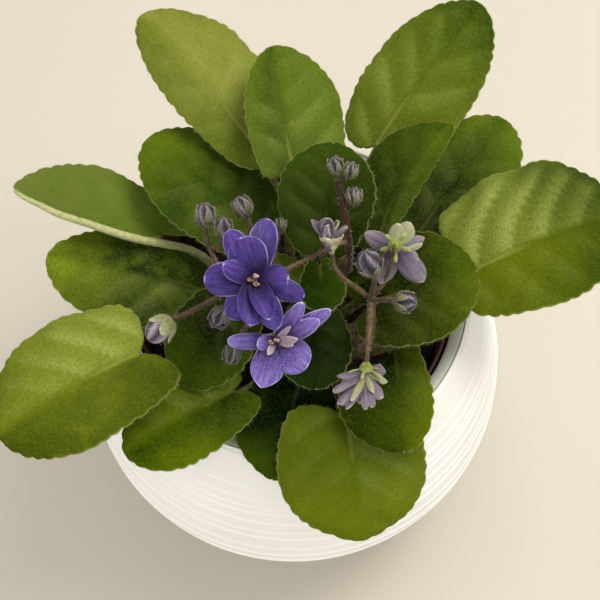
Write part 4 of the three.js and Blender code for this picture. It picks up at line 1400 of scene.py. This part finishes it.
class MakeFlowers(bpy.types.Operator):
    """Make the five flowers on their stalks, petal by petal"""

    bl_idname = "violet.make_flowers"
    bl_label = "Flowers"

    def execute(self, context):
        looks = context.scene.violet_flowers
        skins = {
            "violet": petal("Petal skin, deep violet", "#472f86", "#0d0230", "#a396cc", "#6653a6"),
            "lilac": petal("Petal skin, lilac", "#7c68b4", "#2a1860", "#bdb0d8", "#9f8fce"),
            "pale": petal("Petal skin, half open", "#7d717a", "#43364f", "#b0aa98", "#938991"),
            "cream": petal("Petal skin, cream green", "#94917c", "#747a48", "#b9b6a0", "#a3a08e"),
        }
        pink = petal("Petal skin, stamen-like", "#b09aa4", "#86708a", "#c4b4b2", "#bfabb0")
        slots = {"violet": "petal_violet", "lilac": "petal_lilac", "pale": "petal_pale"}
        stalk_skin = plant_stalk("Flower stalk, hairy", "#6e5638", "#35220f")
        calyx_skin = sepal("Calyx, hairy", "#828e38", "#56621c", "#a09f78")
        cream_skin = sepal("Calyx, hairy, cream", "#b3ae8c", "#868556", "#c4bfa8")
        pollen = anther_skin()
        for index, (name, flower) in enumerate(FLOWERS.items()):
            rng = np.random.default_rng(40 + index)
            centres, radii, end = branch_guide(f"flower_{name}_stalk")
            place = flower_frame(centres, end, flower)
            centre, axis = place[:2]
            base = (centre - axis * 0.5, *place[1:]) if name == HALF_OPEN else place
            centres = centres + np.outer((0, 0, 0.1, 0.5, 1, 1, 1, 1), flower.get("bend", (0, 0, 0)))
            skin = skins[flower["skin"]]
            kinds = {"petals": (base, skin), "cream": (base, skins["cream"]), "petaloids": (place, pink)}
            petals = []
            for kind, (at, material) in kinds.items():
                for number, sizes in enumerate(flower.get(kind, [])):
                    narrow = kind == "petaloids" or (name, kind, number) == ("2", "petals", 1)
                    point = 0.8 if narrow else 0.5
                    petals.append(petal_sheet(f"petal_{name}", at, sizes, material, looks, rng, point))
            if name == HALF_OPEN:
                petals.append(folded_bud("heart", base[0] - axis, axis, (6.4, 2.2), skin, rng, 6))
            start = centres[-1] if "shift" in flower else centre - axis * 2.6
            cup = start + np.linspace(0, 1, 6)[:, None] * (centre - axis * 0.3 - start)
            petals.append(add_tube(f"throat_{name}", cup, np.linspace(1.0, 1.5, 6), skin, 16))
            corolla = join(petals, f"flower_{name}_petals")
            finish_piece(corolla, slots[flower["skin"]], f"flower_{name}_corolla")
            green = cream_skin if name == HALF_OPEN else calyx_skin
            make_flower_stem(name, flower, centres, radii, (stalk_skin, green), rng)
            if name in OPEN_FLOWERS:
                make_stamens(name, place, pollen)
        return {"FINISHED"}


# ------------------------------------------------------------------ stems and buds


STEM_HAIRS = 6  # on a millimetre


class MakeStems(bpy.types.Operator):
    """Make the three main flower stems and the hairs of all the stems"""

    bl_idname = "violet.make_stems"
    bl_label = "Stems"

    def execute(self, context):
        looks = context.scene.violet_flowers
        skins = {
            "left": plant_stalk("Flower stem, reddened, left", "#523824", "#26140a"),
            "back": plant_stalk("Flower stem, dark red", "#461619", "#1a0608"),
            "right": plant_stalk("Flower stem, reddened, right", "#5a4c2a", "#2a1c0e"),
        }
        rng = np.random.default_rng(77)
        hairs = []
        longest = looks.hair_length / MM
        for name, skin in skins.items():
            centres, radii, end = branch_guide(f"stem_{name}")
            line = through(with_ends(np.concatenate([centres, [end]])), np.linspace(0, 8, 60))
            thick = np.interp(np.linspace(0, 7, 60), np.arange(8), radii) * 0.97
            knots = 1 + 0.12 * np.exp(-(((np.linspace(0, 1, 60) - 0.96) / 0.05) ** 2))
            stem = add_tube(f"stem_{name}_skin", line, thick * knots, skin, 16)
            slot = "stem_dark" if name == "back" else "stem"
            finish_piece(stem, slot, f"stem_{name}")
            hairs.append(tube_hairs(line, thick, rng, STEM_HAIRS, longest))
        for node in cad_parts:
            if node.endswith("_stalk") or node.startswith("bud_"):
                centres = branch_guide(node)[0]
                line = through(with_ends(centres[:5]), np.linspace(0, 4, 24))
                hairs.append(tube_hairs(line, np.full(24, 0.6), rng, STALK_HAIRS, longest))
        fuzz = plant_hair("Stem hairs", "#a8997c", "#d8cbb6")
        add_hairs("stem_hairs", hairs, 0.035, fuzz, "flower_stalk")
        return {"FINISHED"}


def folded_bud(name, at, axis, sizes, material, rng, folds=5):
    """The petals of a bud folded over each other: an egg with soft grooves, of a length and a
    radius. Its grooves are painted nearly black as painted shade, and its ridges carry a pale
    painted highlight."""
    length, radius = sizes
    across = unit(np.cross(axis, [0.2, 0.1, 1]))
    other = np.cross(axis, across)
    t = eased(26)
    angle = np.linspace(0, 2 * math.pi, 41)[None]
    start = rng.uniform(0, 6.3)
    swell = np.clip(1 - np.abs(2 * t - 1) ** 2.4, 0, 1) ** 0.5 * (1 - 0.08 * t)
    twist = angle + 0.9 * t
    groove = np.abs(np.sin(folds * (twist + start) / 2)) ** 0.6
    out = radius * swell * (0.8 + 0.18 * groove)
    lift = length * t - 0.3 * (1 - groove) * fade(t, 0.7, 1)
    parts = ((across, out * np.cos(angle)), (other, out * np.sin(angle)), (axis, lift))
    points = spread(at, *parts)
    points[:, -1] = points[:, 0]
    # Painted shade in the grooves between the folds, and a painted highlight on the ridges.
    marks = {"margin": 0.6 * (groove > 0.93) + 0 * t, "reach": 0.05 + 0.95 * groove**1.6 + 0 * t}
    return close_outward(add_sheet(name, points, material, marks))


# Each bud: how far its sepals reach over it, their half width as an angle, and their colour at
# their base, in their hollows and at their tips
BUDS = {
    "left_low": (0.62, 0.66, "#848a5c", "#565f34", "#a3a284"),
    "left_high": (0.9, 0.34, "#5f6038", "#36371c", "#8a8473"),
    "left_middle": (0.85, 0.36, "#5a5731", "#302e18", "#787070"),
    "left_back": (0.95, 0.4, "#5a5831", "#333019", "#797367"),
    "left_under": (0.95, 0.42, "#4f4838", "#211b14", "#746a70"),
    "left_front": (0.95, 0.36, "#48502e", "#1d2310", "#63625a"),
    "left_tiny": (0.95, 0.42, "#56592c", "#2d3014", "#7a775e"),
    "back_top": (0.9, 0.4, "#666546", "#3b3b22", "#86826a"),
    "back_right": (0.95, 0.42, "#696746", "#403e24", "#8e8a6d"),
    "back_side": (0.95, 0.42, "#676546", "#3e3c22", "#8b866c"),
    "right_high": (0.5, 0.36, "#5c5838", "#312c18", "#847e6d"),
    "right_side": (0.8, 0.42, "#5f5b3b", "#322e1b", "#8a846f"),
}
BUD_HAIRS = 170  # on each bud


class MakeBuds(bpy.types.Operator):
    """Make the twelve buds with their sepals and stalks"""

    bl_idname = "violet.make_buds"
    bl_label = "Buds"

    def execute(self, context):
        stalk_skin = plant_stalk("Bud stalk, hairy", "#553f24", "#28170b")
        folded = petal("Petal skin, folded in bud", "#5c5462", "#0c0612", "#8c8689", "#6f6876")
        opening = petal("Petal skin, bud about to open", "#8b8088", "#261c38", "#aaa3a0", "#9a90a0")
        hairs = []
        for index, (name, (cover, half, light, dark, tip)) in enumerate(BUDS.items()):
            rng = np.random.default_rng(200 + index)
            centres, radii, end = branch_guide(f"bud_{name}")
            axis = unit(end - centres[4])
            length = np.linalg.norm(end - centres[4])
            radius = radii[5:].max() * 1.05
            if name == "left_low":
                axis = unit(axis + [0, -0.4, -0.2])
            line = through(with_ends(centres[:5]), np.linspace(0, 4, 20))
            stalk = add_tube(f"stalk_{name}", line, np.linspace(0.68, 0.75, 20), stalk_skin)
            petals = opening if name == "left_low" else folded
            core = folded_bud(f"core_{name}", centres[4], axis, (length, radius), petals, rng)
            skin = sepal(f"Bud sepal, hairy, {name}", light, dark, tip)
            sizes = (length, radius, cover, half)
            sepals = bud_sepals(name, centres[4], axis, sizes, skin, rng)
            bud = join([core, stalk, *sepals], f"bud_{name}_whole")
            finish_piece(bud, "bud", f"bud_{name}")
            across = unit_rows(rng.normal(size=(BUD_HAIRS, 3)))
            out = unit_rows(across - np.outer(across @ axis, axis) * 0.3)
            roots = centres[4] + axis * length * 0.48 + out * [radius * 1.04]
            roots = roots + np.outer(out @ axis, axis) * (length / 2 - radius)
            ways = out + rng.normal(0, 0.3, out.shape)
            hairs.append((roots, ways, rng.uniform(0.4, 0.8, BUD_HAIRS)))
        add_hairs("bud_hairs", hairs, 0.03, plant_hair("Bud hairs", "#8f8c78", "#c4c0ac"), "bud")
        return {"FINISHED"}


def bud_sepals(name, at, axis, sizes, material, rng):
    """Five sepals that lie on a bud, with dark gaps between their pointed tips."""
    length, radius, cover, half_angle = sizes
    across = unit(np.cross(axis, [0.2, 0.1, 1]))
    other = np.cross(axis, across)
    sheets = []
    turn = rng.uniform(0, 6.3)
    for k in range(SEPALS_EACH):
        middle = turn + 2 * math.pi * (k + rng.uniform(-0.08, 0.08)) / SEPALS_EACH
        reach = cover * rng.uniform(0.88, 1.04)
        t = np.linspace(0, 1, 15)[:, None]
        s = np.linspace(-1, 1, 9)[None]
        half = half_angle * np.sqrt(np.clip(1 - (t**2) ** 1.3, 0, 1)) * (1.25 - 0.35 * t)
        angle = middle + half * s
        along = t * reach * 0.97
        swell = np.sqrt(np.clip(1 - (2 * along - 1) ** 2, 0, 1)) * (1 - 0.1 * along)
        swell = np.where(along < 0.12, np.maximum(swell, 0.28 + 2 * along), swell)
        lift = 0.22 - 0.1 * s**2 + 0.5 * fade(t, 0.75, 1)
        out = radius * swell + lift
        parts = (
            (across, out * np.cos(angle)), (other, out * np.sin(angle)),
            (axis, length * along + 0.1 + 0 * s),
        )
        points = spread(at, *parts)
        marks = {"margin": 1 - fade(1 - np.abs(s) + 0 * t, 0.0, 0.3), "reach": t + 0 * s}
        sheet = add_sheet(f"sepal_{name}", points, material, marks)
        sheets.append(close_outward(thicken(sheet, 0.3, 0.6)))
    return sheets


# ------------------------------------------------------------------ floor, lights and camera


class StageLooks(bpy.types.PropertyGroup):
    floor_colour: bpy.props.FloatVectorProperty(
        name="Floor",
        description="Colour of the plain floor",
        subtype="COLOR",
        size=4,
        default=colour("#c6c0b4"),
    )
    key_power: bpy.props.FloatProperty(
        name="Key light",
        description="Power of the large soft lamp at the upper right",
        default=4.2,
        unit="POWER",
    )
    fill_power: bpy.props.FloatProperty(
        name="Fill light",
        description="Power of the wide soft lamp in front on the left",
        default=0.9,
        unit="POWER",
    )
    sky: bpy.props.FloatProperty(
        name="Surround light", description="Strength of the even light all round", default=0.98
    )


class SetStage(bpy.types.Operator):
    """Lay the floor and place the soft lights and the camera"""

    bl_idname = "violet.set_stage"
    bl_label = "Floor, Lights and Camera"

    def execute(self, context):
        looks = context.scene.violet_stage
        deselect()
        bpy.ops.mesh.primitive_grid_add(
            x_subdivisions=8, y_subdivisions=8, size=3, location=(0, 0, 0)
        )
        floor = context.object
        floor.name = "floor"
        coats = [("#c0baad", {"size": 180, "detail": 3}, 0.35, 0.65, 0.5)]
        shine = {"Roughness": 0.8, "Specular IOR Level": 0.2}
        floor.data.materials.append(
            finish("Floor, matt paint", looks.floor_colour[:], coats, (0.02, {"size": 2}), shine)
        )

        world = bpy.data.worlds.new("studio")
        world.use_nodes = True
        background = world.node_tree.nodes["Background"]
        background.inputs["Color"].default_value = colour("#f6f4ef")
        background.inputs["Strength"].default_value = looks.sky
        context.scene.world = world

        add_lamp("key_light", (0.27, 0.15, 0.71), (0, 0, 0.1), 0.45, looks.key_power, (1.0, 0.96, 0.88))
        add_lamp("fill_light", (-0.3, -0.62, 0.5), (0, -0.05, 0.03), 0.6, looks.fill_power)

        bpy.ops.object.camera_add(location=(0.00214, -0.1985, 0.5088))
        camera = context.object
        camera.rotation_euler = (math.radians(90 - 64.2), 0, 0)
        camera.data.sensor_width = 36
        camera.data.lens = 85.8
        camera.data.clip_start = 0.01
        context.scene.camera = camera
        context.scene.view_settings.view_transform = "Standard"
        return {"FINISHED"}


def add_lamp(name, place, target, size, power, tint=(1.0, 1.0, 1.0)):
    """A round soft lamp that faces a point."""
    bpy.ops.object.light_add(type="AREA", location=place)
    lamp = bpy.context.object
    lamp.name = name
    lamp.data.shape = "DISK"
    lamp.data.size = size
    lamp.data.energy = power
    lamp.data.color = tint
    way = Vector(target) - lamp.location
    lamp.rotation_mode = "QUATERNION"
    lamp.rotation_quaternion = way.to_track_quat("-Z", "Y")


# ------------------------------------------------------------------ panel and run


class VioletPanel(bpy.types.Panel):
    bl_idname = "VIEW3D_PT_violet"
    bl_label = "Potted African Violet"
    bl_space_type = "VIEW_3D"
    bl_region_type = "UI"
    bl_category = "Violet"

    def draw(self, context):
        for name in SETTINGS:
            group = getattr(context.scene, name)
            for key in group.bl_rna.properties.keys():
                if key not in ("rna_type", "name"):
                    self.layout.prop(group, key)
        for operator in OPERATORS:
            self.layout.operator(operator.bl_idname)


SETTINGS = {
    "violet_pot": PotSizes,
    "violet_leaves": LeafLooks,
    "violet_flowers": FlowerLooks,
    "violet_stage": StageLooks,
}
OPERATORS = (
    MakeOuterPot,
    MakeNurseryPot,
    MakeSoil,
    MakeCrown,
    MakeLeaves,
    MakeStems,
    MakeFlowers,
    MakeBuds,
    SetStage,
)


def register():
    for group in SETTINGS.values():
        bpy.utils.register_class(group)
    for name, group in SETTINGS.items():
        setattr(bpy.types.Scene, name, bpy.props.PointerProperty(type=group))
    for made in (*OPERATORS, VioletPanel):
        bpy.utils.register_class(made)


def unregister():
    for made in (VioletPanel, *reversed(OPERATORS)):
        bpy.utils.unregister_class(made)
    for name, group in SETTINGS.items():
        delattr(bpy.types.Scene, name)
        bpy.utils.unregister_class(group)


def main():
    register()
    for operator in OPERATORS:
        folder, name = operator.bl_idname.split(".")
        getattr(getattr(bpy.ops, folder), name)()


if __name__ == "__main__":
    main()
